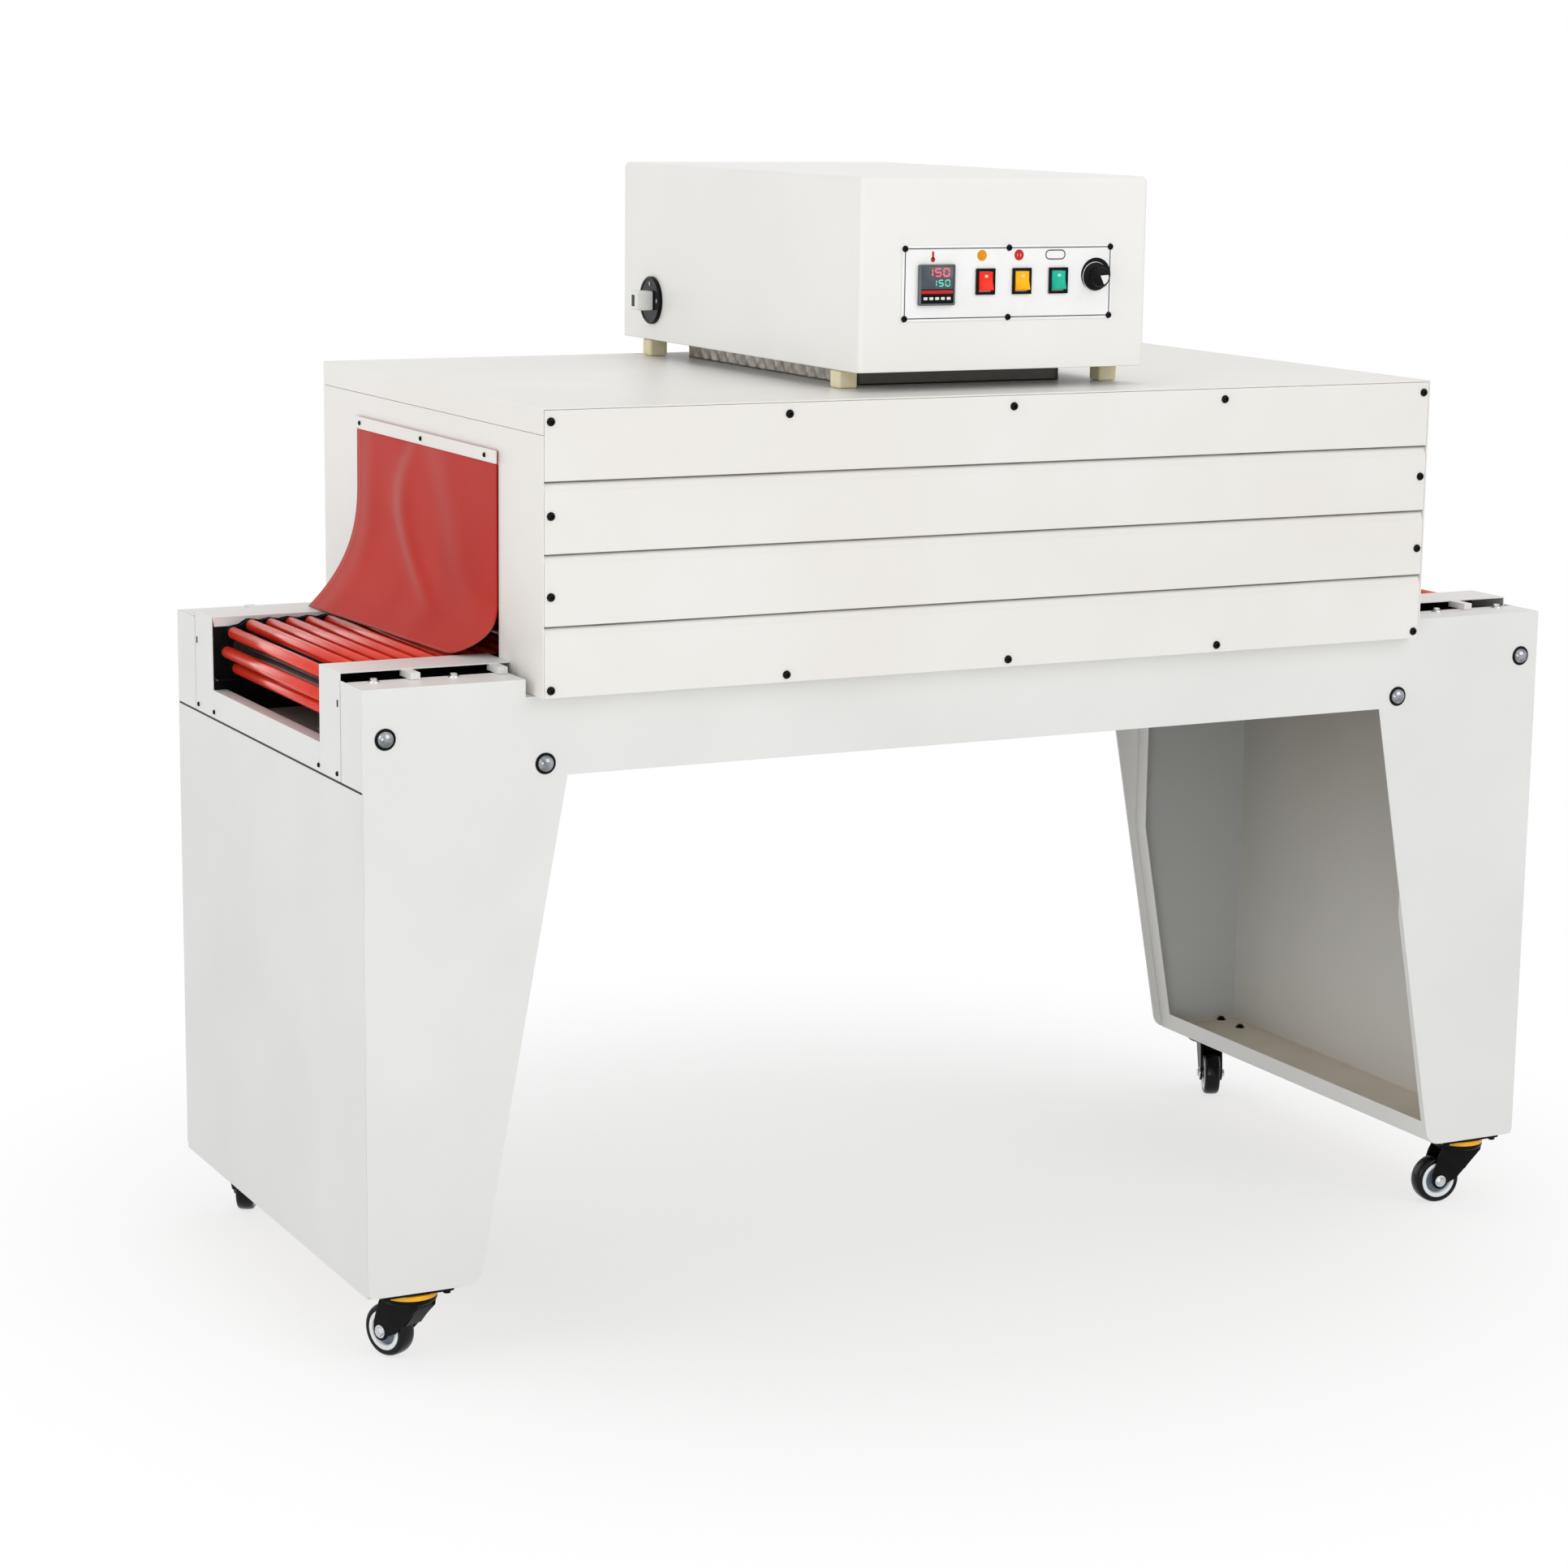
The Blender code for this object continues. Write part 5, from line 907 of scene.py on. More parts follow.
plate_centre = ((PLATE_LOW.x + PLATE_HIGH.x) / 2, FACE_Y, (PLATE_LOW.z + PLATE_HIGH.z) / 2)
plate_width, plate_height = PLATE_HIGH.x - PLATE_LOW.x, PLATE_HIGH.z - PLATE_LOW.z
ICON_Z = 1.2620
THERMOMETER_X, AMBER_X, RED_X, OVAL_X = -0.0772, -0.0108, 0.0401, 0.0906
BORDER_MARGIN, SCREW_MARGIN = 0.006, 0.0035
border = frame_line(plate_width - BORDER_MARGIN, plate_height - BORDER_MARGIN, 0.003, 0.0012)
oval = frame_line(0.028, 0.012, 0.0058, 0.0014)
lines = [copies(border, [plate_centre], TO_FRONT), copies(oval, [(OVAL_X, FACE_Y, ICON_Z)], TO_FRONT)]
make_piece("plate_printed_lines", joined(*lines), PRINT_GREY)
bulb = copies(disc(0.0030), [(THERMOMETER_X, FACE_Y, ICON_Z - 0.0042)], TO_FRONT)
tube = copies(slab(rounded_rectangle(0.0028, 0.0092, 0.0013, 3), 0, PRINT_DEPTH),
              [(THERMOMETER_X, FACE_Y, ICON_Z + 0.0010)], TO_FRONT)
red_disc = copies(disc(0.0065), [(RED_X, FACE_Y, ICON_Z)], TO_FRONT)
make_piece("plate_red_prints", joined(bulb, tube, red_disc), PRINT_RED)
make_piece("plate_amber_disc", copies(disc(0.0065), [(AMBER_X, FACE_Y, ICON_Z)], TO_FRONT), PRINT_AMBER)
ray = slab(0.6 * np.array([(-0.0012, 0), (0.0006, 0.0036), (0.0002, 0.0004), (0.0012, 0.0),
                           (-0.0006, -0.0036), (-0.0002, -0.0004)]), 0, PRINT_DEPTH)
rays = [(RED_X + x, FACE_Y - PRINT_DEPTH, ICON_Z) for x in (-0.0022, 0.0022)]
make_piece("plate_pale_marks", copies(ray, rays, TO_FRONT), PALE_MARK)
screw_z = (PLATE_HIGH.z - SCREW_MARGIN, PLATE_LOW.z + SCREW_MARGIN)
screw_x = (PLATE_LOW.x + SCREW_MARGIN, plate_centre[0], PLATE_HIGH.x - SCREW_MARGIN)
plate_head = turned([(0, 0.0009), (0.0014, 0.0009), (0.0017, 0.0024), (0.0030, 0.0020), (0.0038, 0.0007),
                     (0.0040, -0.0002), (0, -0.0002)], 16)
make_piece("plate_screws", copies(plate_head, spread_points(screw_x, FACE_Y, screw_z), TO_FRONT), BLACK_OXIDE)

# %% [markdown]
# The temperature controller is a moulded bezel round a smoked window, with two rows of lit digits and
# five keys under a red stripe. A digit is seven bars. Each bar is a six-sided outline, and a digit
# picks the bars it needs, so a row of digits is a list of bar places.

# %% Temperature controller
METER_LOW, METER_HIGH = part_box("temperature_controller")
meter_face = METER_LOW.y
meter_size = METER_HIGH.x - METER_LOW.x
meter_x, meter_z = (METER_LOW.x + METER_HIGH.x) / 2, (METER_LOW.z + METER_HIGH.z) / 2
meter_back = FACE_Y - 0.0003
bezel_depth = meter_back - meter_face
BEZEL_LINE = 0.0022
rim_outer = rounded_rectangle(meter_size, meter_size, 0.0015, 4)
rim_middle = rounded_rectangle(meter_size - 0.0016, meter_size - 0.0016, 0.0012, 4)
rim_inner = rounded_rectangle(meter_size - 2 * BEZEL_LINE, meter_size - 2 * BEZEL_LINE, 0.001, 4)
rim_levels = [(rim_outer, 0.0), (rim_outer, bezel_depth - 0.0006), (rim_middle, bezel_depth),
              (rim_inner, bezel_depth - 0.0004), (rim_inner, 0.0), (rim_outer, 0.0)]
rim_points = np.vstack([np.column_stack([flat, np.full(len(flat), z)]) for flat, z in rim_levels])
rim = (rim_points, [grid_quads(len(rim_levels), len(rim_outer), wrap=True)])
make_piece("controller_bezel", copies(rim, [(meter_x, meter_back, meter_z)], TO_FRONT), DARK_BEZEL,
           stands_for=["temperature_controller"])
inside = meter_size - 2 * BEZEL_LINE - 0.0002
window_height = 0.0265
window_z = meter_z + inside / 2 - window_height / 2
window_depth = bezel_depth - 0.0010
window = soft_slab(inside, window_height, window_depth, 0.0008, 0.0003, 3, 2)
make_piece("controller_window", copies(window, [(meter_x, meter_back, window_z)], TO_FRONT), DISPLAY)
lower_height = inside - window_height - 0.0004
lower_z = meter_z - inside / 2 + lower_height / 2
lower = soft_slab(inside, lower_height, window_depth - 0.0003, 0.0008, 0.0003, 3, 2)
make_piece("controller_key_panel", copies(lower, [(meter_x, meter_back, lower_z)], TO_FRONT), BLACK_PLASTIC)
BARS = {  # bar of a digit: its middle in digit widths and heights, and whether it stands up
    "top": (0, 1, False), "middle": (0, 0, False), "bottom": (0, -1, False),
    "upper_left": (-1, 0.5, True), "upper_right": (1, 0.5, True),
    "lower_left": (-1, -0.5, True), "lower_right": (1, -0.5, True),
}
DIGITS = {
    "0": "top bottom upper_left upper_right lower_left lower_right",
    "1": "upper_right lower_right",
    "5": "top middle bottom upper_left lower_right",
}


def digit_row(word, centre_x, centre_z, half_width, half_height, pitch, surface_y):
    """Seven-bar digits in a row: each bar is an outline with pointed ends, lying or standing."""
    thick = half_width * 0.22
    shapes = []
    for place, letter in enumerate(word):
        shift = (place - (len(word) - 1) / 2) * pitch
        for bar in DIGITS[letter].split():
            across, up, standing = BARS[bar]
            reach = (half_height / 2 if standing else half_width) - 0.0002
            flat = np.array([(-reach, 0), (-reach + thick, -thick), (reach - thick, -thick), (reach, 0),
                             (reach - thick, thick), (-reach + thick, thick)])
            if standing:
                flat = flat[:, ::-1][::-1]
            spot = (centre_x + shift + across * half_width, surface_y, centre_z + up * half_height)
            shapes.append(copies(slab(flat, 0, 0.00015), [spot], TO_FRONT))
    return joined(*shapes)


window_y = meter_back - window_depth
red_row = digit_row("150", meter_x + 0.001, window_z + 0.0062, 0.0036, 0.0043, 0.0112, window_y)
green_row = digit_row("150", meter_x + 0.005, window_z - 0.0062, 0.0028, 0.0034, 0.0090, window_y)
make_piece("controller_red_digits", red_row, RED_DIGITS)
make_piece("controller_green_digits", green_row, GREEN_DIGITS)
key = soft_slab(0.0052, 0.0034, 0.0008, 0.0010, 0.0004, 3, 2)
key_y = meter_back - window_depth + 0.0003
keys = [(meter_x + (place - 2) * 0.0078, key_y, lower_z - 0.0024) for place in range(5)]
make_piece("controller_keys", copies(key, keys, TO_FRONT), WHITE_PLASTIC)
stripe = slab(rounded_rectangle(inside - 0.001, 0.0040, 0.0006, 3), 0, PRINT_DEPTH)
make_piece("controller_red_stripe", copies(stripe, [(meter_x, key_y, lower_z + lower_height / 2 - 0.0030)],
                                           TO_FRONT), PRINT_RED)

# %% [markdown]
# Each rocker is a lens with two faces that slope to a valley, so that one half stands proud. Its face
# is a grid over width and height: depth falls along the slope and rounds off at the rim. The switch
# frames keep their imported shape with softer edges. A rocker turns with its own body.

# %% Rocker switches
def rocker_face(width, height, rise, thickness, columns=15, rows=29):
    """Front z = rise |v| smoothed at the valley, less a rounded rim; then walls and a fan behind."""
    u, v = np.meshgrid(np.linspace(-1, 1, columns), np.linspace(-1, 1, rows))
    slope = rise * (np.sqrt(v ** 2 + 0.004) - 1)
    rim = 0.0009
    side = np.clip((np.abs(u) - 1) * width / 2 + rim, 0, rim)
    end = np.clip((np.abs(v) - 1) * height / 2 + rim, 0, rim)
    drop = rim - np.sqrt(np.clip(rim ** 2 - np.minimum(side ** 2 + end ** 2, rim ** 2), 0, None))
    x, y, z = u * width / 2, v * height / 2, slope - drop
    x, y, z = (np.pad(values, 2, mode="edge") for values in (x, y, z))
    z[1, :] = z[-2, :] = z[:, 1] = z[:, -2] = -thickness
    for values in (x, y):
        values[0, :] = values[-1, :] = 0
        values[:, 0] = values[:, -1] = 0
    z[0, :] = z[-1, :] = z[:, 0] = z[:, -1] = -thickness
    return np.stack([x, y, z], axis=-1).reshape(-1, 3), [grid_quads(rows + 4, columns + 4)]


for colour, lens_finish in LENSES.items():
    dress(f"switch_frame_{colour}", BLACK_PLASTIC, 0.0005)
    low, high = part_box(f"rocker_{colour}")
    pivot = np.array(JOINTS[f"press_{colour}"]["pos_m"])
    tilt = math.radians(9)
    lean = np.array([[1, 0, 0], [0, math.cos(tilt), math.sin(tilt)], [0, -math.sin(tilt), math.cos(tilt)]])
    width = high.x - low.x
    face = rocker_face(width, 0.0218, 0.00165, 0.0068)
    turn = lean @ TO_FRONT
    top = pivot + lean @ np.array([0, -0.0062, 0])
    make_piece(f"rocker_lens_{colour}", copies(face, [top], turn), lens_finish, body=f"rocker_{colour}_body",
               stands_for=[f"rocker_{colour}"], sharp=60)
    # The pale square is the switch's on mark and also the lamp's glow spot on the lens, a painted glow
    mark = slab(rounded_rectangle(0.0042, 0.0032, 0.0008, 3), -0.0003, 0.00018)
    spot = top + turn @ np.array([0, 0.0056, -0.00079])
    tip = math.atan2(0.00165, 0.0109)
    tipped = np.array([[1, 0, 0], [0, math.cos(tip), -math.sin(tip)], [0, math.sin(tip), math.cos(tip)]])
    make_piece(f"rocker_painted_glow_mark_{colour}", copies(mark, [spot], turn @ tipped), PALE_MARK,
               body=f"rocker_{colour}_body")

# %% [markdown]
# The speed knob is turned black plastic with flutes round its grip and a white sector on its cap for a
# pointer, drawn as wide as the reflection on the glossy cap, so it is partly a painted reflection. Its
# radius is the profile's, less a small wave that repeats eighteen times round the grip. A
# tapered crescent printed round it shows which way is faster.

# %% Speed knob and its scale
def fluted(profile, flutes, steps):
    """Surface of revolution whose radius also falls by depth (1 - |cos(n a / 2)|) round the grip."""
    radius, height, depth = np.asarray(profile, float).T[:, :, None]
    angle = 2 * np.pi * np.arange(steps) / steps
    wave = 1 - np.abs(np.cos(flutes * angle / 2))
    reach = radius - depth * wave
    points = np.stack([reach * np.cos(angle), reach * np.sin(angle), height + 0 * angle], axis=-1)
    return points.reshape(-1, 3), [grid_quads(len(points), steps, wrap=True)]


knob_place = np.array(JOINTS["speed_turn"]["pos_m"])
knob_base = FACE_Y - 0.0006
knob_profile = [
    (0, 0, 0), (0.0168, 0, 0), (0.017, 0.0004, 0), (0.0166, 0.0026, 0), (0.0130, 0.0034, 0),
    (0.0126, 0.0040, 0.0008), (0.0120, 0.0140, 0.0011), (0.0112, 0.0156, 0.0008), (0.0100, 0.0160, 0),
    (0.0096, 0.0156, 0), (0, 0.0156, 0),
]
knob_spot = [(knob_place[0], knob_base, knob_place[2])]
make_piece("fluted_speed_knob", copies(fluted(knob_profile, 18, 108), knob_spot, TO_FRONT), BLACK_PLASTIC,
           body="speed_dial", stands_for=["speed_knob"], sharp=40)
cap = turned([(0, 0.0158), (0.0090, 0.0158), (0.0096, 0.0156), (0.0096, 0.0150), (0, 0.0150)], 40)
make_piece("knob_cap", copies(cap, knob_spot, TO_FRONT), BLACK_PLASTIC, body="speed_dial")
# The white sector is a pointer and a painted reflection of the glossy cap in one
wedge = np.radians(np.linspace(-72, 16, 12))
sector = np.vstack([[[-0.0022, 0.0018]], 0.0092 * np.column_stack([np.cos(wedge), np.sin(wedge)])])
pointer = slab(sector, 0.0157, 0.01597)
make_piece("knob_pointer_and_painted_reflection", copies(pointer, knob_spot, TO_FRONT), WHITE_PLASTIC, body="speed_dial")
SCALE_STEPS, SCALE_RADIUS = 55, 0.0178
sweep = np.radians(np.linspace(225, -45, SCALE_STEPS))
breadth = 0.0004 + 0.0046 * np.sin(np.pi * np.linspace(0, 1, SCALE_STEPS) ** 1.4) ** 0.8
around = np.column_stack([np.cos(sweep), np.sin(sweep)])
inner_arc, outer_arc = SCALE_RADIUS * around, (SCALE_RADIUS + breadth)[:, None] * around
arcs = [np.column_stack([arc, np.full(SCALE_STEPS, z)]) for arc, z in
        ((inner_arc, 0), (inner_arc, PRINT_DEPTH), (outer_arc, PRINT_DEPTH), (outer_arc, 0), (inner_arc, 0))]
first_points = SCALE_STEPS * np.arange(4)
caps = np.array([first_points, first_points[::-1] + SCALE_STEPS - 1])
crescent = (np.vstack(arcs), [grid_quads(5, SCALE_STEPS), caps])
make_piece("speed_scale", copies(crescent, [(knob_place[0], FACE_Y, knob_place[2])], TO_FRONT), BLACK_PLASTIC)

# %% [markdown]
# On the box's left side a black rotary switch carries a white block handle. Its plate is a turned disc
# with a raised rim and two small white marks, and the handle a moulded block with a slot in its end.

# %% Rotary switch
plate_low, plate_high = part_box("isolator_plate")
axis_place = np.array(JOINTS["isolator_turn"]["pos_m"])
disc_radius = (plate_high.z - plate_low.z) / 2
disc_depth = plate_high.x - plate_low.x
dial_profile = [(0, 0), (disc_radius, 0), (disc_radius, disc_depth - 0.0012),
                (disc_radius - 0.0012, disc_depth), (disc_radius - 0.0035, disc_depth),
                (disc_radius - 0.0042, disc_depth - 0.0008), (0.0055, disc_depth - 0.0008),
                (0.0055, 0.0004), (0, 0.0004)]
dial_spot = [(plate_high.x, axis_place[1], axis_place[2])]
make_piece("rotary_switch_plate", copies(turned(dial_profile, 48), dial_spot, TO_LEFT), BLACK_PLASTIC,
           stands_for=["isolator_plate"])
tick = slab(rounded_rectangle(0.0018, 0.0050, 0.0006, 3), disc_depth - 0.0010, disc_depth - 0.0005)
TICK_RADIUS = 0.0215
tick_points = np.array(dial_spot) + [[0, 0, TICK_RADIUS], [0, -TICK_RADIUS, 0]]
make_piece("rotary_switch_marks", copies(tick, tick_points, TO_LEFT), WHITE_PLASTIC)
GRIP_GAP = 0.0006
reach = plate_low.x - GRIP_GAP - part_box("isolator_handle")[0].x
grip = soft_slab(0.026, 0.025, reach, 0.0035, 0.0022, 5, 4)
grip_spot = [(plate_low.x - GRIP_GAP, axis_place[1], axis_place[2])]
make_piece("rotary_switch_handle", copies(grip, grip_spot, TO_LEFT), WHITE_PLASTIC, body="isolator_lever",
           stands_for=["isolator_handle"])
groove = slab(rounded_rectangle(0.0090, 0.0150, 0.0015, 3), reach - 0.0004, reach + 0.0002)
make_piece("rotary_handle_slot", copies(groove, grip_spot, TO_LEFT), BLACK_PLASTIC, body="isolator_lever")

# %% [markdown]
# Four swivel casters carry the machine. A pressed plate is bolted under each leg. Below it an
# orange-yellow dust cap covers the ball race, then comes the fork with its bell-shaped crown and two
# cheeks, and a wheel with a rubber tyre on a pale nylon hub. Each caster is worked out once, along X
# from its swivel axis to its wheel, and then turned to where its own joints say it trails.

# %% Casters
WHEEL_RADIUS = 0.0315
TRAIL = 0.032
tyre = turned([(0.0225, 0.0095), (0.0240, 0.0108), (0.0276, 0.0110), (0.0298, 0.0098), (0.0311, 0.0066),
               (0.0315, 0.0), (0.0311, -0.0066), (0.0298, -0.0098), (0.0276, -0.0110), (0.0240, -0.0108),
               (0.0225, -0.0095), (0.0225, 0.0095)], 48)
hub_half = [(0.0048, 0.0118), (0.0078, 0.0118), (0.0084, 0.0108), (0.0086, 0.0082), (0.0175, 0.0070)]
ring_half = [(0.0175, 0.0070), (0.0182, 0.0104), (0.0190, 0.0111), (0.0228, 0.0112), (0.0239, 0.0104)]
hub = turned(hub_half + [(r, -h) for r, h in hub_half[::-1]] + hub_half[:1], 40)
ring = turned(ring_half + [(r, -h) for r, h in ring_half[::-1]] + ring_half[:1], 48)
cheek_angle = np.radians(np.linspace(200, 355, 12))
eye = np.column_stack([TRAIL + 0.0112 * np.cos(cheek_angle), WHEEL_RADIUS + 0.0112 * np.sin(cheek_angle)])
PLATE_LENGTH, PLATE_DEPTH, PLATE_WALL = 0.090, 0.066, 0.003
CHEEK_WALL, CHEEK_PLACES, WEB_HALF = 0.0028, (0.0160, -0.0132), 0.0134
AXLE_PLACE = [(TRAIL, 0, WHEEL_RADIUS)]
plate = soft_slab(PLATE_LENGTH, PLATE_DEPTH, PLATE_WALL, 0.006, 0.0006, 5, 2)
hex_head = turned([(0, 0.0042), (0.0042, 0.0042), (0.0048, 0.0036), (0.0048, 0.0), (0, 0)], 6)
dust_cap = turned([(0.0140, 0.0), (0.0308, 0.0), (0.0327, -0.0010), (0.0332, -0.0034), (0.0328, -0.0062),
                   (0.0145, -0.0062), (0.0140, 0.0)], 48)
nut = turned([(0, 0.0200), (0.0050, 0.0200), (0.0058, 0.0192), (0.0058, 0.0160), (0, 0.0160)], 6)
washer = turned([(0, 0.0168), (0.0078, 0.0168), (0.0080, 0.0158), (0, 0.0158)], 24)
shaft = turned([(0, 0.0165), (0.0038, 0.0165), (0.0038, -0.0165), (0, -0.0165)], 16)
axle_set = joined(*[copies(part, AXLE_PLACE, way) for part in (nut, washer) for way in (TO_FRONT, TO_BACK)],
                  copies(shaft, AXLE_PLACE, TO_FRONT))


def fork_shape(top):
    """A crown of revolution under the race, a web across it, and two cheeks down to the axle's eye."""
    crown = turned([(0.0146, top - 0.0064), (0.0326, top - 0.0064), (0.0328, top - 0.0092),
                    (0.0316, top - 0.0120), (0.0290, top - 0.0136), (0.0146, top - 0.0136),
                    (0.0146, top - 0.0064)], 48)
    neck = top - 0.0100
    front = [(0.0290, neck), (-0.0282, neck), (-0.0270, neck - 0.008), (0.0080, WHEEL_RADIUS + 0.002)]
    back = [(0.0430, WHEEL_RADIUS + 0.010), (0.0345, neck - 0.010)]
    cheek = slab(np.vstack([front, eye, back]), 0.0, CHEEK_WALL)
    web = slab([(-0.0270, neck), (-0.0255, neck - 0.009), (-0.0060, WHEEL_RADIUS + 0.0130),
                (-0.0030, WHEEL_RADIUS + 0.0150), (-0.0040, WHEEL_RADIUS + 0.0240), (0.0060, neck - 0.0060),
                (0.0270, neck - 0.0060), (0.0270, neck)], -WEB_HALF, WEB_HALF)
    cheeks = [copies(cheek, [(0, y, 0)], TO_FRONT) for y in CHEEK_PLACES]
    return joined(crown, copies(web, [(0, 0, 0)], TO_FRONT), *cheeks)


for corner in CORNERS:
    swivel, axle = (np.array(JOINTS[f"{kind}_{corner}"]["pos_m"]) for kind in ("swivel", "spin"))
    trail = (axle - swivel)[:2] / np.linalg.norm((axle - swivel)[:2])
    turn = np.array([[trail[0], -trail[1], 0], [trail[1], trail[0], 0], [0, 0, 1]])
    floor_place = [(swivel[0], swivel[1], 0)]
    plate_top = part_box(f"caster_plate_{corner}")[1].z
    crown_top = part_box(f"caster_fork_{corner}")[1].z
    plate_under = plate_top - PLATE_WALL
    drop = plate_under - crown_top
    boss = turned([(0, 0), (0.0318, 0), (0.0322, drop * 0.4), (0.0312, drop - 0.0006),
                   (0.0135, drop - 0.0006), (0.0135, drop + 0.012), (0.0105, drop + 0.0135),
                   (0, drop + 0.0135)], 40)
    top_shape = joined(copies(plate, [(*swivel[:2], plate_top)], TO_DOWN),
                       copies(boss, [(*swivel[:2], plate_under)], TO_DOWN))
    make_piece(f"caster_top_plate_{corner}", top_shape, BLACK_OXIDE, stands_for=[f"caster_plate_{corner}"])
    bolt_places = [(swivel[0] + x, swivel[1] + y, plate_under) for x, y in CASTER_HOLES]
    make_piece(f"caster_bolts_{corner}", copies(hex_head, bolt_places, TO_DOWN), BLACK_OXIDE)
    make_piece(f"caster_dust_cap_{corner}", copies(dust_cap, [(*swivel[:2], crown_top)]), AMBER_RING,
               body=f"caster_{corner}")
    make_piece(f"caster_fork_shell_{corner}", copies(fork_shape(crown_top), floor_place, turn), BLACK_OXIDE,
               body=f"caster_{corner}", stands_for=[f"caster_fork_{corner}"],
               edge=0.0007)
    make_piece(f"caster_axle_{corner}", copies(axle_set, floor_place, turn), STEEL, body=f"caster_{corner}")
    for part_name, shape, finish, slot_name, stands in (
        ("tyre", tyre, TYRE_RUBBER, "black_rubber", [f"caster_wheel_{corner}"]),
        ("hub", hub, HUB_GREY, "white_plastic", []),
        ("hub_ring", ring, HUB_PLASTIC, "white_plastic", []),
    ):
        wheel_part = copies(copies(shape, AXLE_PLACE, TO_FRONT), floor_place, turn)
        make_piece(f"caster_{part_name}_{corner}", wheel_part, finish, body=f"wheel_{corner}",
                   stands_for=stands, sharp=50)
print("casters:", CORNERS)

# %% [markdown]
# The scene around it is a product photograph: white everywhere. The floor is a real surface near the
# machine, so that it keeps a soft shadow, and fades to plain white further out. The world is white to
# the camera and to reflections, and dimmer as a light, so that pale paint keeps its shape.

# %% Floor and world
FLOOR_SIZE = 30.0
SHADOW_LIFT = 0.6


def seen_directly(tree):
    """1 for camera, glossy and transmission rays, which see plain white, and 0 for the light itself."""
    path = add_node(tree, "ShaderNodeLightPath").outputs
    seen = path["Is Camera Ray"]
    for kind in ("Is Glossy Ray", "Is Transmission Ray"):
        seen = add_node(tree, "ShaderNodeMath", {0: seen, 1: path[kind]}, operation="MAXIMUM").outputs[0]
    return seen


FADE_START, FADE_END = 0.5, 1.35


def studio_floor():
    """Matt white that keeps the shadow near the machine, and a plain white of strength 1 further out."""
    made = bpy.data.materials.new("white_studio_floor")
    made.use_nodes = True
    tree = made.node_tree
    tree.nodes.clear()
    place = add_node(tree, "ShaderNodeTexCoord").outputs["Object"]
    distance = add_node(tree, "ShaderNodeVectorMath", {0: place}, operation="LENGTH").outputs["Value"]
    fade = add_node(tree, "ShaderNodeMapRange", {"Value": distance, 1: FADE_START, 2: FADE_END},
                    interpolation_type="SMOOTHSTEP").outputs["Result"]
    white = add_node(tree, "ShaderNodeMapRange", {"Value": fade, 3: SHADOW_LIFT, 4: 1.0}).outputs["Result"]
    share = add_node(tree, "ShaderNodeMath", {0: white, 1: seen_directly(tree)},
                     operation="MULTIPLY").outputs[0]
    matt = add_node(tree, "ShaderNodeBsdfDiffuse", {"Color": linear("F4F4F3")}).outputs[0]
    plain = add_node(tree, "ShaderNodeEmission", {"Color": (1, 1, 1, 1), "Strength": 1.0}).outputs[0]
    mixed = add_node(tree, "ShaderNodeMixShader", {0: share, 1: matt, 2: plain}).outputs[0]
    add_node(tree, "ShaderNodeOutputMaterial", {"Surface": mixed})
    return made


half = FLOOR_SIZE / 2
floor_mesh = bpy.data.meshes.new("studio_floor")
corners = [(-half, -half, 0), (half, -half, 0), (half, half, 0), (-half, half, 0)]
floor_mesh.from_pydata(corners, [], [(0, 1, 2, 3)])
floor_mesh.materials.append(studio_floor())
floor = bpy.data.objects.new("studio_floor", floor_mesh)
bpy.context.scene.collection.objects.link(floor)

world = bpy.data.worlds.new("white_studio")
bpy.context.scene.world = world
world.use_nodes = True
world.node_tree.nodes.clear()
WORLD_LIGHT = 0.58
strength = add_node(world.node_tree, "ShaderNodeMapRange", {
    "Value": seen_directly(world.node_tree), 3: WORLD_LIGHT, 4: 1.0,
}).outputs["Result"]
sky = add_node(world.node_tree, "ShaderNodeBackground", {"Color": (1, 1, 1, 1), "Strength": strength})
add_node(world.node_tree, "ShaderNodeOutputWorld", {"Surface": sky.outputs[0]})

# %% [markdown]
# Five large soft lamps give the paint its shape. The key stands in front and to the right and is the
# strongest, so that the control side is the brightest. A weaker fill and a low lamp stand to the left,
# one hangs over the roof, and a small one behind lifts the back.

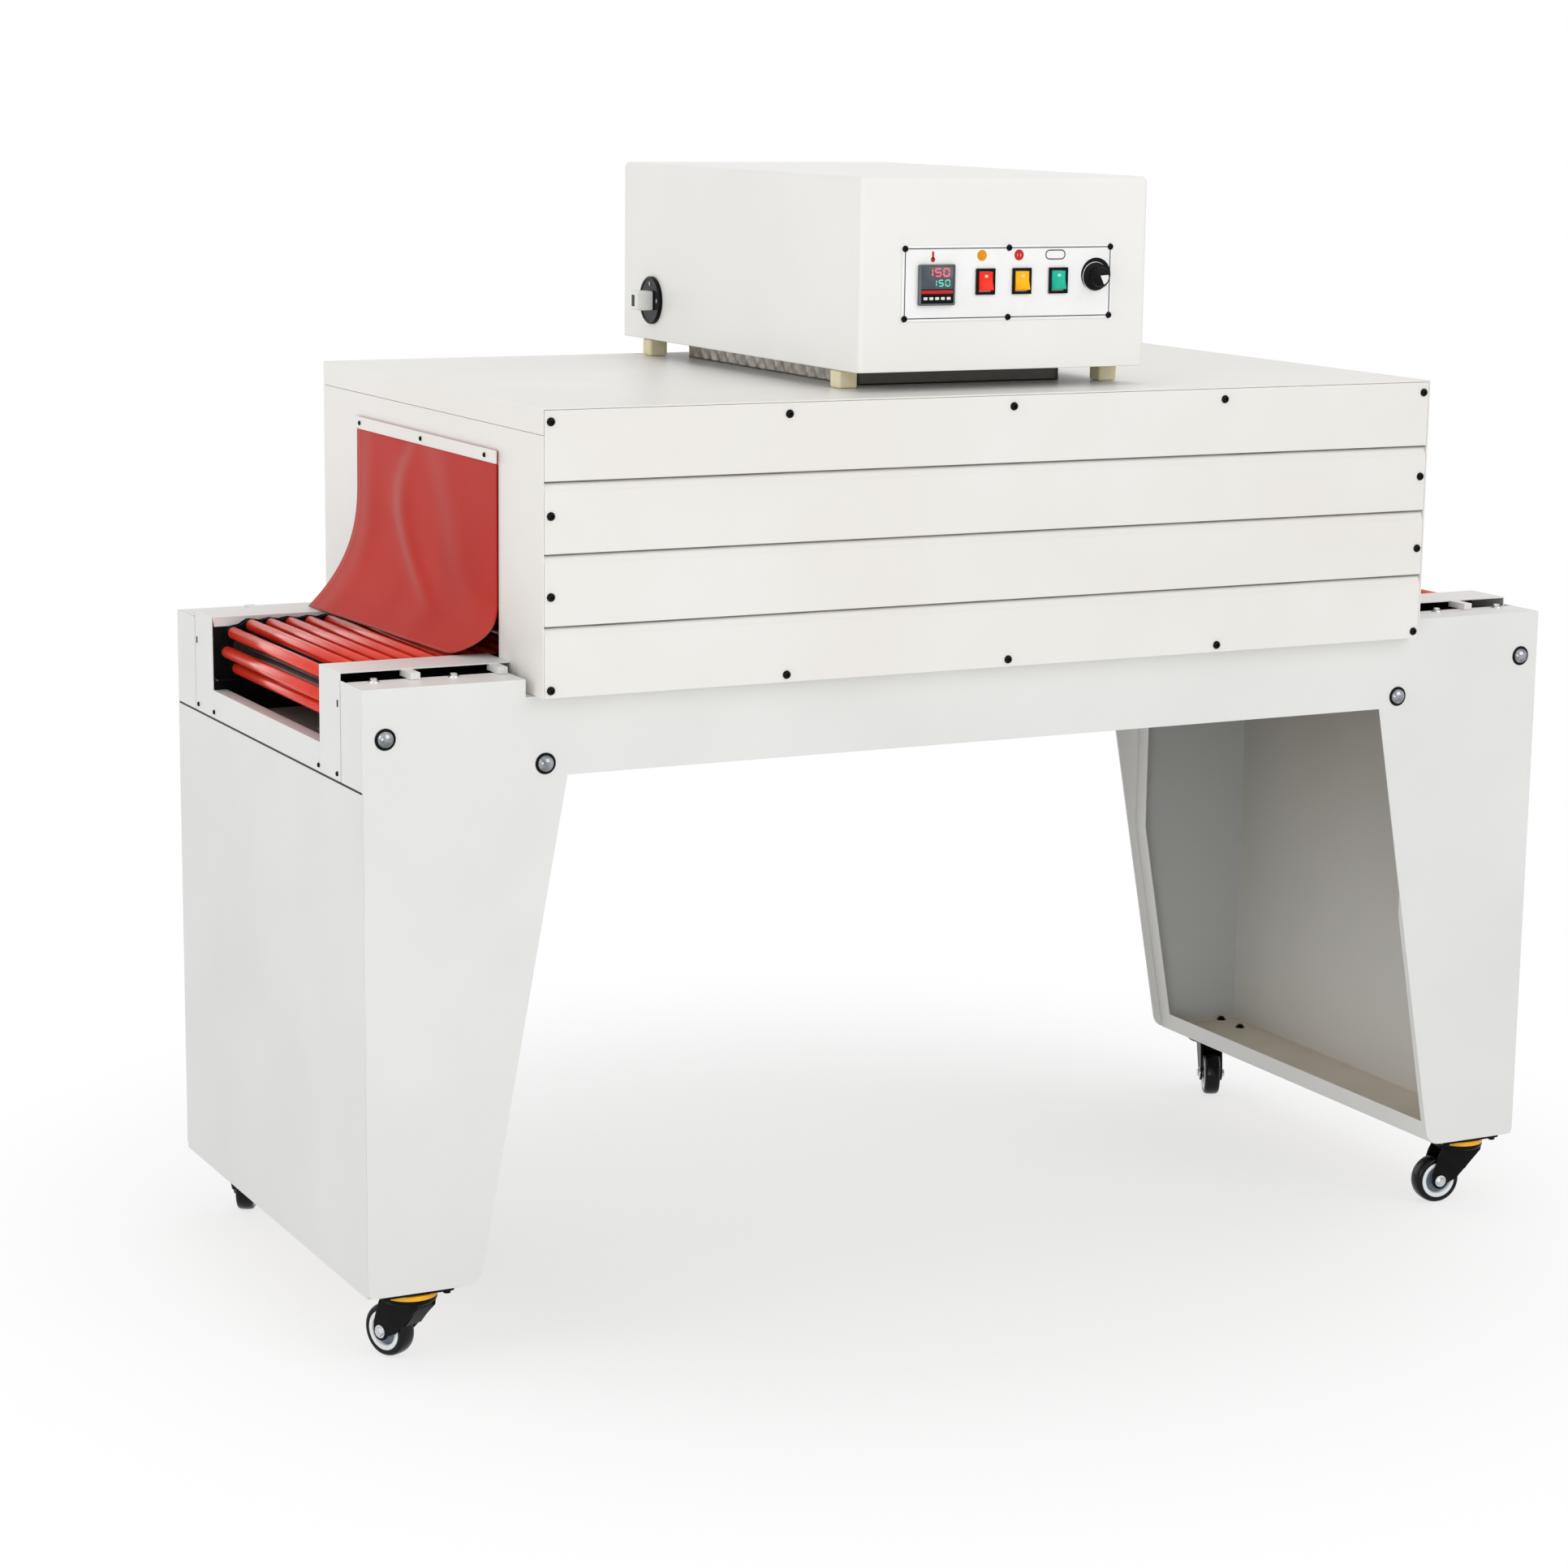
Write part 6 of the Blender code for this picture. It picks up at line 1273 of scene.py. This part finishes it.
# %% Lamps
def soft_lamp(name, place, target, size, power):
    """A square area lamp at a place, facing a target."""
    light = bpy.data.lights.new(name, "AREA")
    light.shape = "SQUARE"
    light.size = size
    light.energy = power
    lamp = bpy.data.objects.new(name, light)
    bpy.context.scene.collection.objects.link(lamp)
    back = np.array(place, float) - np.array(target, float)
    back /= np.linalg.norm(back)
    right = np.cross([0, 0, 1], back)
    right /= np.linalg.norm(right)
    up = np.cross(back, right)
    matrix = Matrix(np.column_stack([right, up, back]).tolist()).to_4x4()
    matrix.translation = place
    lamp.matrix_world = matrix
    return lamp


soft_lamp("key_lamp", (1.6, -4.2, 3.2), (0, 0, 0.7), 3.6, 60)
soft_lamp("fill_lamp", (-4.2, -1.2, 2.4), (0, 0, 0.7), 2.4, 26)
soft_lamp("low_lamp", (-2.9, -3.6, 0.9), (0.5, 0, 0.4), 1.6, 26)
soft_lamp("top_lamp", (0.2, 0.6, 4.4), (0, 0, 1.0), 2.6, 20)
soft_lamp("back_lamp", (-1.8, 4.2, 1.6), (0.2, 0, 0.8), 2.4, 16)

# %% [markdown]
# The camera was worked out from the machine's own length and depth: a lens of about 84 mm on a 36 mm
# wide sensor, 4.1 m in front and 2.2 m to the left, at the height of the box's top, looking 11 degrees
# down. Its three axes follow from yaw, pitch and a small roll.

# %% Camera
YAW, PITCH, ROLL = (math.radians(value) for value in (26.9214, -10.9862, 0.7138))
CAMERA_PLACE = (-2.1886, -4.0905, 1.4672)
forward = np.array([math.sin(YAW) * math.cos(PITCH), math.cos(YAW) * math.cos(PITCH), math.sin(PITCH)])
level = np.array([math.cos(YAW), -math.sin(YAW), 0.0])
upward = np.cross(level, forward)
right = math.cos(ROLL) * level + math.sin(ROLL) * upward
up = math.cos(ROLL) * upward - math.sin(ROLL) * level
lens_data = bpy.data.cameras.new("photograph_view")
lens_data.sensor_width = 36.0
lens_data.lens = 36.0 * 4488.57 / 1932
camera = bpy.data.objects.new("photograph_view", lens_data)
bpy.context.scene.collection.objects.link(camera)
matrix = Matrix(np.column_stack([right, up, -forward]).tolist()).to_4x4()
matrix.translation = CAMERA_PLACE
camera.matrix_world = matrix
bpy.context.scene.camera = camera
bpy.context.scene.view_settings.view_transform = "Standard"
print("lens in mm:", round(lens_data.lens, 2))

# %% [markdown]
# The dressed machine has to stay as large as the imported one.

# %% Update the view layer after dressing
bpy.context.view_layer.update()
